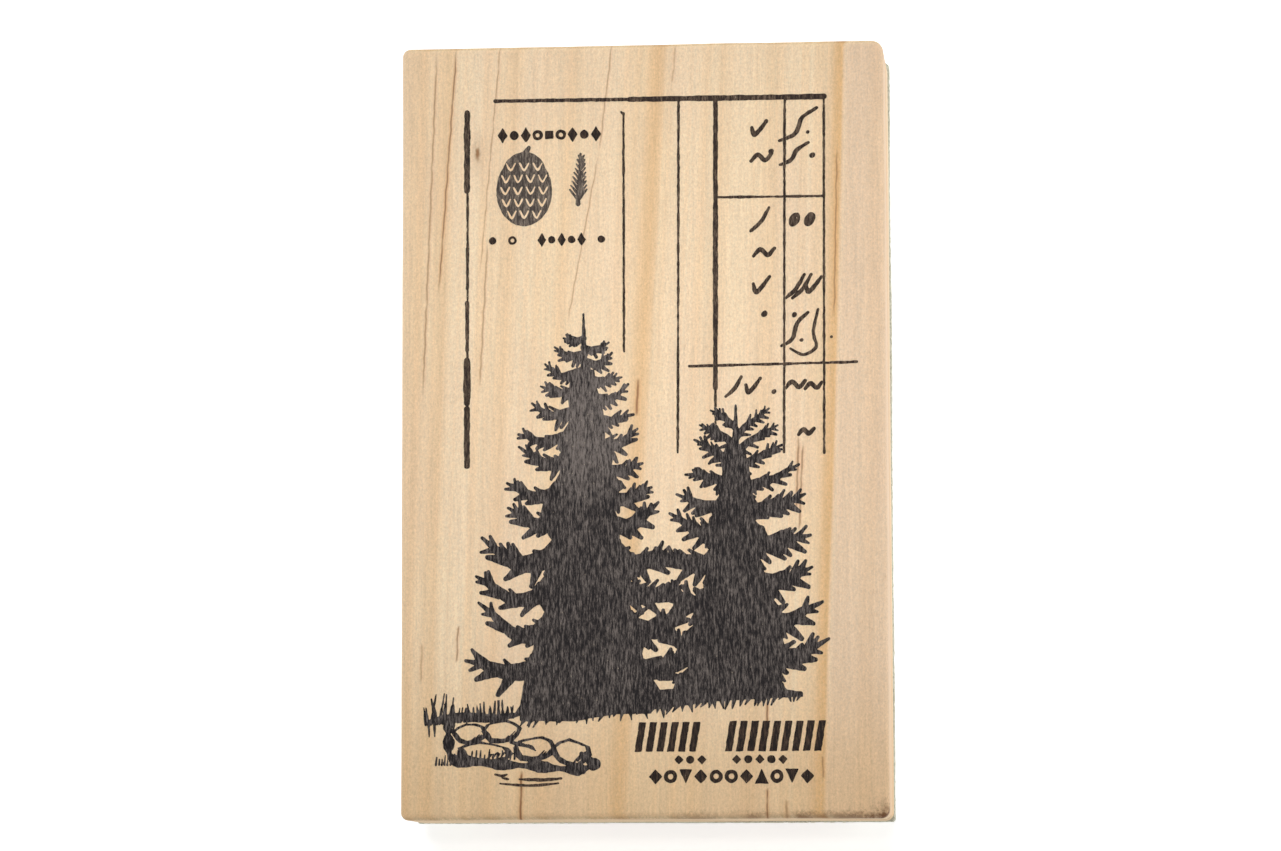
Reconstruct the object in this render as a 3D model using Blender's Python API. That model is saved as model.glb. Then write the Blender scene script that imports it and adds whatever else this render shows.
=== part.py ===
"""A wood-mounted rubber stamp: a pine block, a foam cushion and a moulded rubber die, bonded in a stack.

The stamp stands on its printing face. +Z is up, X runs across the block and Y along it. Sizes are in
millimetres up to the last step, which makes each mesh in metres.
"""

import math
import random

import bmesh
import bpy
import numpy as np
from mathutils.geometry import delaunay_2d_cdt

MM = 0.001

# The stack, from the table up
RELIEF_HEIGHT = 1.2
SHEET_THICKNESS = 1.3
FILM_THICKNESS = 0.12
CUSHION_THICKNESS = 3.0
BLOCK_HEIGHT = 18.7
INK_THICKNESS = 0.02
BOND_GAP = 0.02

DIE_BACK = RELIEF_HEIGHT + SHEET_THICKNESS
DIE_FILM_LOW = DIE_BACK + BOND_GAP
DIE_FILM_HIGH = DIE_FILM_LOW + FILM_THICKNESS
CUSHION_LOW = DIE_FILM_HIGH + BOND_GAP
CUSHION_HIGH = CUSHION_LOW + CUSHION_THICKNESS
BLOCK_FILM_LOW = CUSHION_HIGH + BOND_GAP
BLOCK_FILM_HIGH = BLOCK_FILM_LOW + FILM_THICKNESS
BLOCK_LOW = BLOCK_FILM_HIGH + BOND_GAP
BLOCK_TOP = BLOCK_LOW + BLOCK_HEIGHT
INK_LOW = BLOCK_TOP + BOND_GAP

# Outlines, across X and along Y. Corner radii run anticlockwise from the near left corner.
BLOCK_WIDTH, BLOCK_LENGTH = 70.0, 112.0
BLOCK_CORNERS = (1.1, 1.3, 1.8, 1.2)
BLOCK_TOP_EDGE = 1.0
BLOCK_LOW_EDGE = 0.35
CUSHION_PROUD = 0.25
CUSHION_CORNERS = (0.6, 0.6, 0.9, 0.7)
FILM_INSET = 0.5
DIE_TRIM = (
    (-27.9, 50.6), (-28.1, -3.0), (-29.2, -31.5), (-33.3, -36.2), (-33.2, -47.2), (-24.6, -53.3),
    (28.2, -53.4), (28.7, -28.0), (28.6, 5.6), (32.9, 7.0), (33.0, 11.2), (29.0, 13.0), (28.8, 50.3),
)
DIE_FILM_INSET = 0.6

# The artwork's grid, and how its outlines become solids
WINDOW = (-34.0, -55.0, 34.0, 53.0)
GRID_STEP = 0.40
REACH = 0.7
FAR = -9.0
OUTLINE_TOLERANCE = 0.13
SMALLEST_AREA = 0.7
WALL_RUN = 0.34
PRINT_GAP = 0.12
PINCH_GAP = 0.02

CORNER_STEPS = 7
EDGE_STEPS = 5


# Materials


def material(name, colour, roughness):
    """A Principled material with one colour."""
    made = bpy.data.materials.new(name)
    made.use_nodes = True
    shader = made.node_tree.nodes["Principled BSDF"]
    shader.inputs["Base Color"].default_value = (*colour, 1.0)
    shader.inputs["Roughness"].default_value = roughness
    return made


def pine():
    return material("pine", (0.83, 0.64, 0.42), 0.62)


def ink():
    return material("ink", (0.055, 0.045, 0.038), 0.70)


def foam():
    return material("foam", (0.62, 0.65, 0.55), 0.90)


def red_rubber():
    return material("red_rubber", (0.42, 0.10, 0.08), 0.55)


def film():
    return material("film", (0.30, 0.24, 0.16), 0.40)


# Meshes


def solid(name, points, faces, look):
    """A named object from points in millimetres and faces of point numbers."""
    mesh = bpy.data.meshes.new(name)
    mesh.from_pydata([(x * MM, y * MM, z * MM) for x, y, z in points], [], faces)
    joined = bmesh.new()
    joined.from_mesh(mesh)
    bmesh.ops.recalc_face_normals(joined, faces=joined.faces)
    joined.to_mesh(mesh)
    joined.free()
    mesh.materials.append(look)
    made = bpy.data.objects.new(name, mesh)
    bpy.context.collection.objects.link(made)
    return made


def rounded_outline(width, length, corners, inset):
    """Points anticlockwise round a rectangle with its own radius at each corner."""
    points = []
    for i, (sx, sy) in enumerate(((-1, -1), (1, -1), (1, 1), (-1, 1))):
        radius = corners[i]
        x, y = sx * (width / 2 - radius), sy * (length / 2 - radius)
        for k in range(CORNER_STEPS + 1):
            angle = math.pi * (1 + i / 2) + math.pi / 2 * k / CORNER_STEPS
            points.append((x + (radius - inset) * math.cos(angle), y + (radius - inset) * math.sin(angle)))
    return points


def edge_profile(low, high, low_edge, top_edge):
    """Pairs of inset and height up the side of a slab whose lower and upper edges are rounded."""
    pairs = []
    for k in range(EDGE_STEPS + 1):
        angle = math.pi / 2 * k / EDGE_STEPS
        pairs.append((low_edge * (1 - math.sin(angle)), low + low_edge * (1 - math.cos(angle))))
    for k in range(EDGE_STEPS + 1):
        angle = math.pi / 2 * k / EDGE_STEPS
        pairs.append((top_edge * (1 - math.cos(angle)), high - top_edge * (1 - math.sin(angle))))
    return pairs


def stacked(name, rings, look):
    """A solid from rings of equal length, one above the other, closed at both ends."""
    count = len(rings[0])
    points = [point for ring in rings for point in ring]
    faces = [tuple(range(count))[::-1]]
    for level in range(len(rings) - 1):
        base = level * count
        for i in range(count):
            after = (i + 1) % count
            faces.append((base + i, base + after, base + count + after, base + count + i))
    faces.append(tuple(range(len(points) - count, len(points))))
    made = solid(name, points, faces, look)
    made.data.shade_smooth()
    made.data.set_sharp_from_angle(angle=math.radians(35))
    return made


def slab(name, size, corners, low, high, look, edges=None):
    """A flat slab with rounded corners, and rounded edges where edges gives their two radii."""
    pairs = edge_profile(low, high, *edges) if edges else [(0.0, low), (0.0, high)]
    rings = []
    for inset, height in pairs:
        rings.append([(x, y, height) for x, y in rounded_outline(*size, corners, inset)])
    return stacked(name, rings, look)


# Artwork: shapes are drawn as distances on a grid, positive inside the ink


class Artwork:
    """A grid of distances in millimetres to the edge of the drawn shapes."""

    def __init__(self, step):
        self.step = step
        self.x = np.arange(WINDOW[0], WINDOW[2] + step / 2, step)
        self.y = np.arange(WINDOW[1], WINDOW[3] + step / 2, step)
        self.field = np.full((len(self.y), len(self.x)), FAR)

    def window(self, low, high):
        """The rows and columns of the grid around a box."""
        columns = slice(
            max(int((low[0] - REACH - WINDOW[0]) / self.step), 0),
            int((high[0] + REACH - WINDOW[0]) / self.step) + 2,
        )
        rows = slice(
            max(int((low[1] - REACH - WINDOW[1]) / self.step), 0),
            int((high[1] + REACH - WINDOW[1]) / self.step) + 2,
        )
        return rows, columns

    def blend(self, place, inside, cut):
        """Adds a shape to the ink, or cuts it out."""
        old = self.field[place]
        self.field[place] = np.minimum(old, -inside) if cut else np.maximum(old, inside)

    def line(self, start, end, first, last, cut=False):
        """A straight stroke with round ends, whose radius runs from first to last."""
        big = max(first, last)
        low = (min(start[0], end[0]) - big, min(start[1], end[1]) - big)
        high = (max(start[0], end[0]) + big, max(start[1], end[1]) + big)
        place = self.window(low, high)
        x = self.x[place[1]][None, :] - start[0]
        y = self.y[place[0]][:, None] - start[1]
        dx, dy = end[0] - start[0], end[1] - start[1]
        along = np.clip((x * dx + y * dy) / max(dx * dx + dy * dy, 1e-9), 0, 1)
        self.blend(place, first + along * (last - first) - np.hypot(x - along * dx, y - along * dy), cut)

    def stroke(self, points, radii, cut=False):
        """A stroke through points, with a radius at each."""
        for i in range(len(points) - 1):
            self.line(points[i], points[i + 1], radii[i], radii[i + 1], cut)

    def oval(self, centre, rx, ry, turn=0.0, cut=False):
        """A filled ellipse."""
        big = max(rx, ry)
        place = self.window((centre[0] - big, centre[1] - big), (centre[0] + big, centre[1] + big))
        x = self.x[place[1]][None, :] - centre[0]
        y = self.y[place[0]][:, None] - centre[1]
        c, s = math.cos(turn), math.sin(turn)
        u, v = (x * c + y * s) / rx, (y * c - x * s) / ry
        q = np.maximum(np.hypot(u, v), 1e-6)
        slope = np.maximum(np.hypot(u / rx, v / ry) / q, 1e-6)
        self.blend(place, (1 - q) / slope, cut)

    def polygon(self, corners, cut=False):
        """A filled polygon."""
        low = (min(p[0] for p in corners), min(p[1] for p in corners))
        high = (max(p[0] for p in corners), max(p[1] for p in corners))
        place = self.window(low, high)
        x = self.x[place[1]][None, :]
        y = self.y[place[0]][:, None]
        near = np.full((y.shape[0], x.shape[1]), -FAR)
        inside = np.zeros(near.shape, bool)
        for a, b in zip(corners, corners[1:] + corners[:1]):
            dx, dy = b[0] - a[0], b[1] - a[1]
            along = np.clip(((x - a[0]) * dx + (y - a[1]) * dy) / (dx * dx + dy * dy), 0, 1)
            near = np.minimum(near, np.hypot(x - a[0] - along * dx, y - a[1] - along * dy))
            if dy:
                inside ^= ((a[1] > y) != (b[1] > y)) & (x < a[0] + (y - a[1]) * dx / dy)
        self.blend(place, np.where(inside, near, -near), cut)

    def add(self, other):
        self.field = np.maximum(self.field, other.field)


def curve(points, steps):
    """Points along a smooth open curve through the given ones (Catmull-Rom)."""
    p = [points[0], *points, points[-1]]
    found = []
    for i in range(1, len(p) - 2):
        for k in range(steps):
            t = k / steps
            place = []
            for a in (0, 1):
                straight = p[i + 1][a] - p[i - 1][a]
                square = 2 * p[i - 1][a] - 5 * p[i][a] + 4 * p[i + 1][a] - p[i + 2][a]
                cube = 3 * p[i][a] - p[i - 1][a] - 3 * p[i + 1][a] + p[i + 2][a]
                place.append(p[i][a] + 0.5 * (straight * t + square * t * t + cube * t**3))
            found.append(tuple(place))
    found.append(tuple(points[-1]))
    return found


def turned(vector, angle):
    c, s = math.cos(angle), math.sin(angle)
    return vector[0] * c - vector[1] * s, vector[0] * s + vector[1] * c


def pen(art, points, width, end):
    """A pen stroke: thickest in its middle, with ends a share of that width."""
    line = curve(points, 6)
    last = len(line) - 1
    radii = []
    for i in range(last + 1):
        swell = math.sin(math.pi * min(max(i / last, 0.08), 0.92)) ** 0.6
        radii.append(width / 2 * (end + (1 - end) * swell))
    art.stroke(line, radii)


def finger(art, base, direction, length, root, tip=0.09):
    """A short tapered stroke from a base point."""
    size = math.hypot(*direction)
    end = (base[0] + direction[0] / size * length, base[1] + direction[1] / size * length)
    art.line(base, end, root, tip)


# Spruces

# How fast a spruce's dark middle widens downwards
CORE_POWER = 0.98


def bough(art, rng, root, side, reach, drop, lift, thick):
    """One bough: a tapered limb that sinks and turns up at its tip, with blunt fingers of foliage."""
    shape = ((0.0, 0.0), (0.34, -0.60), (0.72, -1.0))
    bends = [(root[0] + side * u * reach, root[1] + v * drop) for u, v in shape]
    spine = curve([*bends, (root[0] + side * reach, root[1] - drop + lift)], 4)
    last = len(spine) - 1
    radii = [thick / 2 * (1 - 0.70 * (i / last) ** 1.4) + 0.07 for i in range(last + 1)]
    art.stroke(spine, radii)
    for i in range(2, last):
        u = i / last
        ahead = (spine[i + 1][0] - spine[i][0], spine[i + 1][1] - spine[i][1])
        length = (0.45 + 0.62 * thick) * (1.25 - 0.5 * u)
        if i % 2 == 0:
            base = (spine[i][0], spine[i][1] - radii[i] * 0.4)
            way = turned(ahead, -side * math.radians(rng.uniform(26, 66)))
            long = length * rng.uniform(0.8, 1.35)
            finger(art, base, way, long, 0.17 + 0.20 * thick, 0.13 + 0.06 * thick)
        if u > 0.35 and rng.random() < 0.62:
            base = (spine[i][0], spine[i][1] + radii[i] * 0.4)
            way = turned(ahead, side * math.radians(rng.uniform(22, 52)))
            long = length * rng.uniform(0.6, 1.2)
            finger(art, base, way, long, 0.14 + 0.12 * thick, 0.11 + 0.04 * thick)
    ahead = (spine[-1][0] - spine[-2][0], spine[-1][1] - spine[-2][1])
    for degrees, stretch in ((-40, 0.75), (-4, 1.0), (32, 0.8)):
        angle = side * math.radians(degrees + rng.uniform(-9, 9))
        length = (0.5 + 0.55 * thick) * stretch * rng.uniform(0.8, 1.25)
        finger(art, spine[-1], turned(ahead, angle), length, 0.14 + 0.11 * thick, 0.12 + 0.03 * thick)


def core(art, rng, axis, top, height, spread, fullness):
    """The dark middle of a tree, which widens downwards and has ragged sides."""
    left, right = [], []
    for k in range(25):
        t = 0.14 + 0.86 * k / 24
        half = 0.35 + fullness * spread * t**CORE_POWER
        left.append((axis(t) - half * rng.uniform(0.74, 1.12), top - t * height))
        right.append((axis(t) + half * rng.uniform(0.74, 1.12), top - t * height))
    art.polygon(left + right[::-1])
    for side, edge in ((-1, left), (1, right)):
        for x, y in edge[4:-1]:
            direction = (side * rng.uniform(0.4, 1.3), -1)
            finger(art, (x - side * 0.3, y), direction, rng.uniform(0.8, 1.9), 0.50, 0.20)


def spruce(art, rng, apex, base, spread, power, tiers, fullness, climb, inner):
    """A spruce from its apex to its base: a leader, a dark core and tiers of boughs on both sides.

    The upper boughs rise by the given climb, a share of their reach, and the lower ones sink.
    The boughs on the inner side, -1 or 1, are the shorter ones.
    """
    height = apex[1] - base[1]

    def axis(t):
        return apex[0] + (base[0] - apex[0]) * t

    art.line(apex, (axis(0.3), apex[1] - 0.3 * height), 0.15, 0.95)
    core(art, rng, axis, apex[1], height, spread, fullness)
    for side in (-1, 1):
        t = 0.075 + 0.012 * side
        for k in range(tiers):
            reach = spread * (1 - 0.09 * side * inner) * t**power * rng.uniform(0.86, 1.08)
            drop = reach * (rng.uniform(0.14, 0.26) - climb * (1 - t) ** 2) + 0.2
            lift = reach * rng.uniform(0.06, 0.24)
            thick = 0.45 + 3.0 * min(1.0, t / 0.6) * rng.uniform(0.80, 1.15)
            root = (axis(t), apex[1] - t * height + 0.4 * drop)
            bough(art, rng, root, side, reach, drop, lift, thick)
            t += 0.90 / tiers * (0.50 + 1.0 * (k + 0.5) / tiers) * rng.uniform(0.9, 1.1)


def draw_spruces(art):
    spruce(art, random.Random(7), (-8.5, 16.6), (-7.9, -41.0), 16.8, 0.72, 13, 0.60, 0.15, 1)
    spruce(art, random.Random(11), (13.4, 3.1), (12.9, -38.6), 11.8, 0.46, 9, 0.66, 1.05, -1)


# The bank under the trees


def draw_ground(art):
    """Earth under both trees, with a ragged lower fringe."""
    rng = random.Random(3)
    top = [(-17.8, -40.4), (-8.0, -38.0), (4.0, -37.5), (13.0, -36.6), (22.6, -38.0)]
    low = [(22.8, -38.7), (10.0, -39.3), (3.0, -40.2), (-4.0, -41.0), (-10.0, -42.0), (-17.8, -41.9)]
    art.polygon(top + low)
    x = -17.0
    while x < 22.8:
        y = -41.9 + 3.3 * (x + 17.5) / 40.4
        direction = (rng.uniform(-0.9, 0.3), -1)
        finger(art, (x, y + 0.35), direction, rng.uniform(0.7, 1.7), 0.36)
        x += rng.uniform(0.55, 1.15)


def draw_grass(art):
    """A clump of upright blades at the left end of the bank, with hatching below it."""
    rng = random.Random(4)
    bank = curve([(-30.8, -41.8), (-26.5, -41.2), (-22.0, -41.5), (-17.6, -40.9)], 8)
    art.stroke(bank, [0.20 + 0.45 * math.sin(math.pi * i / 24) for i in range(25)])
    x = -31.3
    while x < -18.4:
        rise = 1.0 if x < -27.0 else 0.55
        foot = -42.3 + 0.08 * (x + 31)
        finger(art, (x, foot), (rng.uniform(-0.22, 0.2), 1), rng.uniform(2.2, 4.8) * rise, 0.24)
        x += rng.uniform(0.28, 0.55)
    for x in (-30.9, -30.1, -27.4):
        finger(art, (x, -42.0), (0.05, -1), rng.uniform(1.6, 3.0), 0.24)
    x = -29.8
    while x < -26.8:
        finger(art, (x, -48.1), (0.08, 1), rng.uniform(0.9, 1.7) * (0.6 + 0.25 * (x + 30)), 0.16)
        x += rng.uniform(0.38, 0.5)


def boulder(art, rng, centre, rx, ry, turn):
    """One stone: an uneven inked outline, its lit face cut out, and hatching in its shade."""
    outer, lit = [], []
    for k in range(11):
        angle = 2 * math.pi * k / 11
        reach = rng.uniform(0.88, 1.06)
        x, y = turned((rx * reach * math.cos(angle), ry * reach * math.sin(angle)), turn)
        outer.append((centre[0] + x, centre[1] + y))
        share = 0.76 - 0.16 * math.sin(angle - 0.9) * (1 if angle > math.pi else 0.2)
        lit.append((centre[0] + x * share - 0.04 * rx, centre[1] + y * (share - 0.10) + 0.14 * ry))
    art.polygon(outer)
    art.polygon(lit, cut=True)
    for k in range(4):
        base = (centre[0] + rx * (0.15 + 0.17 * k), centre[1] - ry * (0.62 - 0.10 * k))
        finger(art, base, (0.55, 0.62), rng.uniform(0.5, 1.0) * ry * 0.8, 0.16, 0.08)


def draw_stones(art):
    """Boulders at the water's edge, the shore below them and a few reeds."""
    rng = random.Random(5)
    boulders = (
        ((-25.0, -43.7), 2.6, 1.5, 0.10),
        ((-20.3, -43.4), 3.0, 1.8, 0.16),
        ((-22.9, -46.3), 4.0, 1.45, -0.06),
        ((-15.6, -45.9), 3.4, 1.9, 0.10),
        ((-10.4, -46.5), 3.0, 2.1, -0.10),
    )
    for centre, rx, ry, turn in boulders:
        boulder(art, rng, centre, rx, ry, turn)
    bank = [(-27.9, -42.2), (-28.0, -44.4), (-27.2, -47.4), (-21.0, -48.0), (-15.0, -48.4), (-9.5, -48.9)]
    shore = curve([*bank, (-7.0, -48.1)], 6)
    art.stroke(shore, [0.62 + 0.28 * math.sin(i * 1.1) for i in range(len(shore))])
    for i in range(15):
        finger(art, (-27.2 + 0.62 * i, -47.6 + 0.02 * i), (0.10, 1), rng.uniform(0.7, 1.6), 0.17, 0.09)
    for i in range(9):
        finger(art, (-19.0 + 0.36 * i, -44.9 - 0.08 * i), (0.75, -0.5), rng.uniform(0.5, 1.2), 0.24, 0.10)
    for i in range(8):
        finger(art, (-8.9 + 0.24 * i, -46.6 - 0.14 * i), (0.5, -1), rng.uniform(0.8, 1.4), 0.30, 0.16)


def draw_ripples(art):
    pen(art, [(-21.3, -49.5), (-20.3, -49.7), (-19.6, -49.5)], 0.42, 0.3)
    pen(art, [(-20.3, -50.0), (-19.4, -50.2)], 0.36, 0.3)
    pen(art, [(-17.8, -50.2), (-14.6, -50.3), (-11.8, -50.1)], 0.52, 0.3)
    pen(art, [(-20.6, -50.8), (-16.3, -51.1), (-12.2, -50.8)], 0.40, 0.3)


# Rules


def rule(art, rng, start, end, width, rough):
    """A printed rule whose width wanders, as on a worn plate."""
    steps = max(2, int(math.hypot(end[0] - start[0], end[1] - start[1]) / 0.8))
    dx, dy = end[0] - start[0], end[1] - start[1]
    points, radii = [], []
    wide = 1.0
    for i in range(steps + 1):
        wide += (1.0 - wide) * 0.35 + rough * rng.uniform(-1, 1)
        t = i / steps
        drift = rough * 0.10 * rng.uniform(-1, 1)
        points.append((start[0] + dx * t + drift, start[1] + dy * t + drift))
        radii.append(max(0.08, width / 2 * wide))
    art.stroke(points, radii)


def draw_ledger(art):
    """A page of account-book rules: four verticals, two cross rules and the heavy bar along the top."""
    rng = random.Random(6)
    rule(art, rng, (-21.3, 47.95), (-1.2, 47.85), 0.52, 0.07)
    rule(art, rng, (-1.8, 47.85), (26.4, 47.75), 0.78, 0.07)
    rule(art, rng, (10.7, 47.6), (10.5, 5.6), 0.70, 0.07)
    rule(art, rng, (10.6, 33.3), (26.2, 33.25), 0.38, 0.10)
    rule(art, rng, (6.7, 8.85), (30.8, 9.15), 0.38, 0.10)
    for top, low in (
        ((5.35, 47.6), (5.05, -3.6)),
        ((10.5, 5.7), (10.45, -1.9)),
        ((20.7, 47.6), (20.3, -3.7)),
        ((26.35, 47.6), (26.05, -3.9)),
    ):
        rule(art, rng, top, low, 0.36, 0.10)


# Each stretch of the left rule: its upper end, its lower end and its width
LEFT_RULE = (
    (46.2, 41.4, 0.96), (41.4, 34.9, 1.04), (35.3, 26.2, 0.34), (26.4, 20.6, 0.52), (21.0, 18.2, 0.30),
    (18.5, 11.6, 0.62), (12.0, 9.8, 0.34), (10.1, 3.9, 0.84), (4.2, 2.8, 0.40), (3.1, -5.2, 0.88),
)


def draw_left_rule(art):
    """The rule down the left side, worn thin in its middle."""
    rng = random.Random(8)
    for top, low, width in LEFT_RULE:
        x = -25.3 - 0.12 * width
        rule(art, rng, (x, top), (x, low), width, 0.14)


def draw_centre_rule(art):
    rule(art, random.Random(9), (-2.65, 45.8), (-2.66, 11.1), 0.36, 0.10)
    art.line((-3.0, 46.05), (-2.65, 45.7), 0.13, 0.18)


# Emblems and ornaments


def draw_cone(art):
    """A bold spruce cone: an egg of ink with the edges of its scales cut out of it."""
    middle = -17.1
    art.oval((middle, 34.7), 4.05, 5.15)
    art.oval((middle, 36.8), 3.3, 3.6)
    art.line((middle, 40.0), (middle + 0.7, 41.0), 0.42, 0.30)
    for row, count in enumerate((3, 4, 4, 4, 3)):
        y = 38.2 - 1.75 * row
        half = 3.7 * math.sqrt(1 - ((y - 34.9) / 5.4) ** 2)
        for k in range(count):
            x = middle + (k - (count - 1) / 2) * 2 * half / count
            w = half / count * 0.66
            scale = curve([(x - w, y + 0.55), (x, y - 0.45), (x + w, y + 0.55)], 4)
            art.stroke(scale, [0.10 + 0.05 * math.sin(math.pi * i / 8) for i in range(9)], cut=True)


def draw_sprig(art):
    """A small upright fir sprig beside the cone."""
    stem = curve([(-9.3, 32.7), (-9.1, 36.0), (-8.9, 40.0)], 5)
    art.stroke(stem, [0.36 - 0.020 * i for i in range(len(stem))])
    for i in range(1, 10):
        base = (-9.28 + 0.055 * i, 32.5 + 0.75 * i)
        length = 2.1 * (1 - 0.075 * i)
        for side in (-0.8, 0.8):
            finger(art, base, (side, 1), length, 0.27, 0.12)


def slanted_bars(art, start, end, low, high, count):
    """A row of leaning bars, such as the border of an air letter has."""
    pitch = (end - start) / count
    for i in range(count):
        x = start + pitch * i
        wide = 0.64 * pitch
        art.polygon([(x, low), (x + wide, low), (x + wide + 0.7, high), (x + 0.7, high)])


def beads(art, start, end, middle, high, shapes):
    """A row of small marks: d a dot, r a ring, l a lozenge, b a block, v and w wedges, a space a gap."""
    pitch = (end - start) / len(shapes)
    h = high / 2
    for i, shape in enumerate(shapes):
        x = start + pitch * (i + 0.5)
        r = min(h, pitch * 0.44)
        if shape == "d":
            art.oval((x, middle), r * 0.86, r * 0.86)
        if shape == "r":
            art.oval((x, middle), r, r)
            art.oval((x, middle), r * 0.42, r * 0.42, cut=True)
        if shape == "l":
            art.polygon([(x - r, middle), (x, middle - h), (x + r, middle), (x, middle + h)])
        if shape == "b":
            w = r * 0.8
            low, top = middle - w, middle + w
            art.polygon([(x - w, low), (x + w, low), (x + w, top), (x - w, top)])
        if shape == "v":
            art.polygon([(x - r, middle + h), (x + r, middle + h), (x, middle - h)])
        if shape == "w":
            art.polygon([(x - r, middle - h), (x + r, middle - h), (x, middle + h)])


def draw_ornaments(art):
    slanted_bars(art, -1.3, 8.0, -46.4, -42.2, 6)
    slanted_bars(art, 11.6, 25.9, -46.4, -42.1, 9)
    beads(art, 4.2, 20.7, -47.55, 1.35, "ldl  ldldl")
    beads(art, 0.6, 24.4, -49.95, 2.1, "lrvlrrlwrvl")
    beads(art, -21.1, -5.8, 42.85, 2.3, "ldlrbrldl")
    beads(art, -22.4, -5.2, 27.5, 2.0, "d r  ldldl d")


TICK = ((-0.9, 0.1), (-0.5, -0.8), (0.9, 0.9))
WAVE = ((-1.0, -0.35), (-0.35, 0.3), (0.35, -0.25), (1.0, 0.4))
SLASH = ((-0.8, -1.0), (0.1, -0.2), (0.8, 1.0))


def marks(art, shape, width, places):
    """The same pen stroke at several places, each with a size."""
    for x, y, size in places:
        pen(art, [(x + u * size, y + v * size) for u, v in shape], width, 0.47)


def draw_pen_marks(art):
    """Pen strokes in the ledger's columns: ticks, waves, slashes and blots that spell nothing."""
    marks(art, TICK, 0.68, ((17.0, 43.3, 1.2), (17.2, 20.5, 1.3), (24.7, 20.4, 1.25), (15.9, 5.9, 1.15)))
    marks(art, WAVE, 0.70, ((17.3, 39.0, 1.5), (17.6, 25.2, 1.5), (22.0, 6.0, 1.4)))
    marks(art, WAVE, 0.70, ((24.6, 5.8, 1.2), (23.5, -0.8, 1.1)))
    marks(art, SLASH, 0.62, ((17.0, 30.0, 1.7), (22.0, 20.2, 1.7), (23.0, 20.2, 1.7), (13.1, 5.8, 1.4)))
    pen(art, [(25.3, 46.1), (23.2, 44.7), (22.2, 42.4), (19.9, 41.4)], 0.62, 0.5)
    pen(art, [(24.1, 41.1), (22.4, 40.0), (21.6, 38.6), (20.0, 37.9)], 0.62, 0.5)
    pen(art, [(25.3, 16.8), (24.6, 13.6), (25.0, 11.4), (23.2, 10.3), (21.3, 11.2)], 0.50, 0.6)
    pen(art, [(23.9, 16.4), (22.3, 14.9), (21.6, 12.6), (20.0, 11.6)], 0.62, 0.5)
    for x, y, r in (
        (24.0, 42.6, 0.30), (24.6, 39.2, 0.46), (18.0, 44.3, 0.36), (18.7, 39.9, 0.40), (15.9, 28.5, 0.34),
        (17.6, 16.3, 0.50), (18.9, 5.0, 0.40), (22.9, 12.4, 0.30), (27.2, 12.8, 0.24), (21.9, 16.1, 0.42),
    ):
        art.oval((x, y), r, r * 0.85, 0.6)
    for x in (22.0, 24.2):
        art.oval((x, 29.9), 0.74, 1.10, -0.5)


# Outlines: the artwork's edges as closed loops of points


def crossing(art, level, a, b):
    """Where the edge between two grid points meets a level of the field."""
    (ja, ia), (jb, ib) = a, b
    low, high = art.field[ja, ia] - level, art.field[jb, ib] - level
    t = min(max(low / (low - high), 0.08), 0.92)
    return (
        float(art.x[ia] + t * (art.x[ib] - art.x[ia])),
        float(art.y[ja] + t * (art.y[jb] - art.y[ja])),
    )


def outlines(art, level=0.0):
    """Closed loops along a level of the field (marching squares), with the ink on their left."""
    inside = art.field > level
    busy = inside[:-1, :-1].astype(int) + inside[:-1, 1:] + inside[1:, :-1] + inside[1:, 1:]
    after = {}
    for j, i in zip(*np.nonzero((busy > 0) & (busy < 4))):
        corners = ((j, i), (j, i + 1), (j + 1, i + 1), (j + 1, i))
        full = [bool(inside[c]) for c in corners]
        leaving = [k for k in range(4) if full[k] and not full[(k + 1) % 4]]
        entering = [k for k in range(4) if not full[k] and full[(k + 1) % 4]]
        for k in leaving:
            mate = min(entering, key=lambda m: (k - m) % 4)
            start = (corners[k], corners[(k + 1) % 4])
            end = (corners[(mate + 1) % 4], corners[mate])
            after[start] = end
    return chained(art, level, after)


def chained(art, level, after):
    loops = []
    while after:
        first = next(iter(after))
        loop, here = [], first
        while here in after:
            loop.append(crossing(art, level, *here))
            here = after.pop(here)
        loops.append(loop)
    return loops


def area(loop):
    """Twice the signed area of a loop, positive anticlockwise."""
    return sum(a[0] * b[1] - b[0] * a[1] for a, b in zip(loop, loop[1:] + loop[:1]))


def thinned(loop, tolerance):
    """The loop with points left out wherever the line stays within the tolerance (Douglas-Peucker)."""
    points = np.array(loop)
    far = int(np.argmax(np.hypot(*(points - points[0]).T)))
    closed = np.vstack([points, points[:1]])
    keep = {0, far}
    spans = [(0, far), (far, len(points))]
    while spans:
        first, last = spans.pop()
        if last - first < 2:
            continue
        run = closed[last] - closed[first]
        between = closed[first + 1 : last] - closed[first]
        along = np.clip(between @ run / max(run @ run, 1e-12), 0, 1)
        off = np.hypot(*(between - along[:, None] * run).T)
        worst = int(np.argmax(off))
        if off[worst] > tolerance:
            keep.add(first + 1 + worst)
            spans += [(first, first + 1 + worst), (first + 1 + worst, last)]
    return [loop[i] for i in sorted(keep)]


def clean_outlines(art, level=0.0):
    """The outlines at a level, without specks and without needless points."""
    large = [loop for loop in outlines(art, level) if abs(area(loop)) > 2 * SMALLEST_AREA]
    thin = [thinned(loop, OUTLINE_TOLERANCE) for loop in large]
    return [loop for loop in thin if len(loop) > 2]


def holds(loop, point):
    """Whether a loop runs round a point."""
    x, y = point
    found = False
    for a, b in zip(loop, loop[1:] + loop[:1]):
        if (a[1] > y) != (b[1] > y) and x < a[0] + (y - a[1]) * (b[0] - a[0]) / (b[1] - a[1]):
            found = not found
    return found


def largest_shape(loops):
    """The largest outer loop, and the holes that lie straight inside it."""
    outer = sorted((loop for loop in loops if area(loop) > 0), key=area)
    holes = []
    for loop in loops:
        if area(loop) < 0 and next((o for o in outer if holds(o, loop[0])), None) is outer[-1]:
            holes.append(loop)
    return [outer[-1], *holes]


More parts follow.
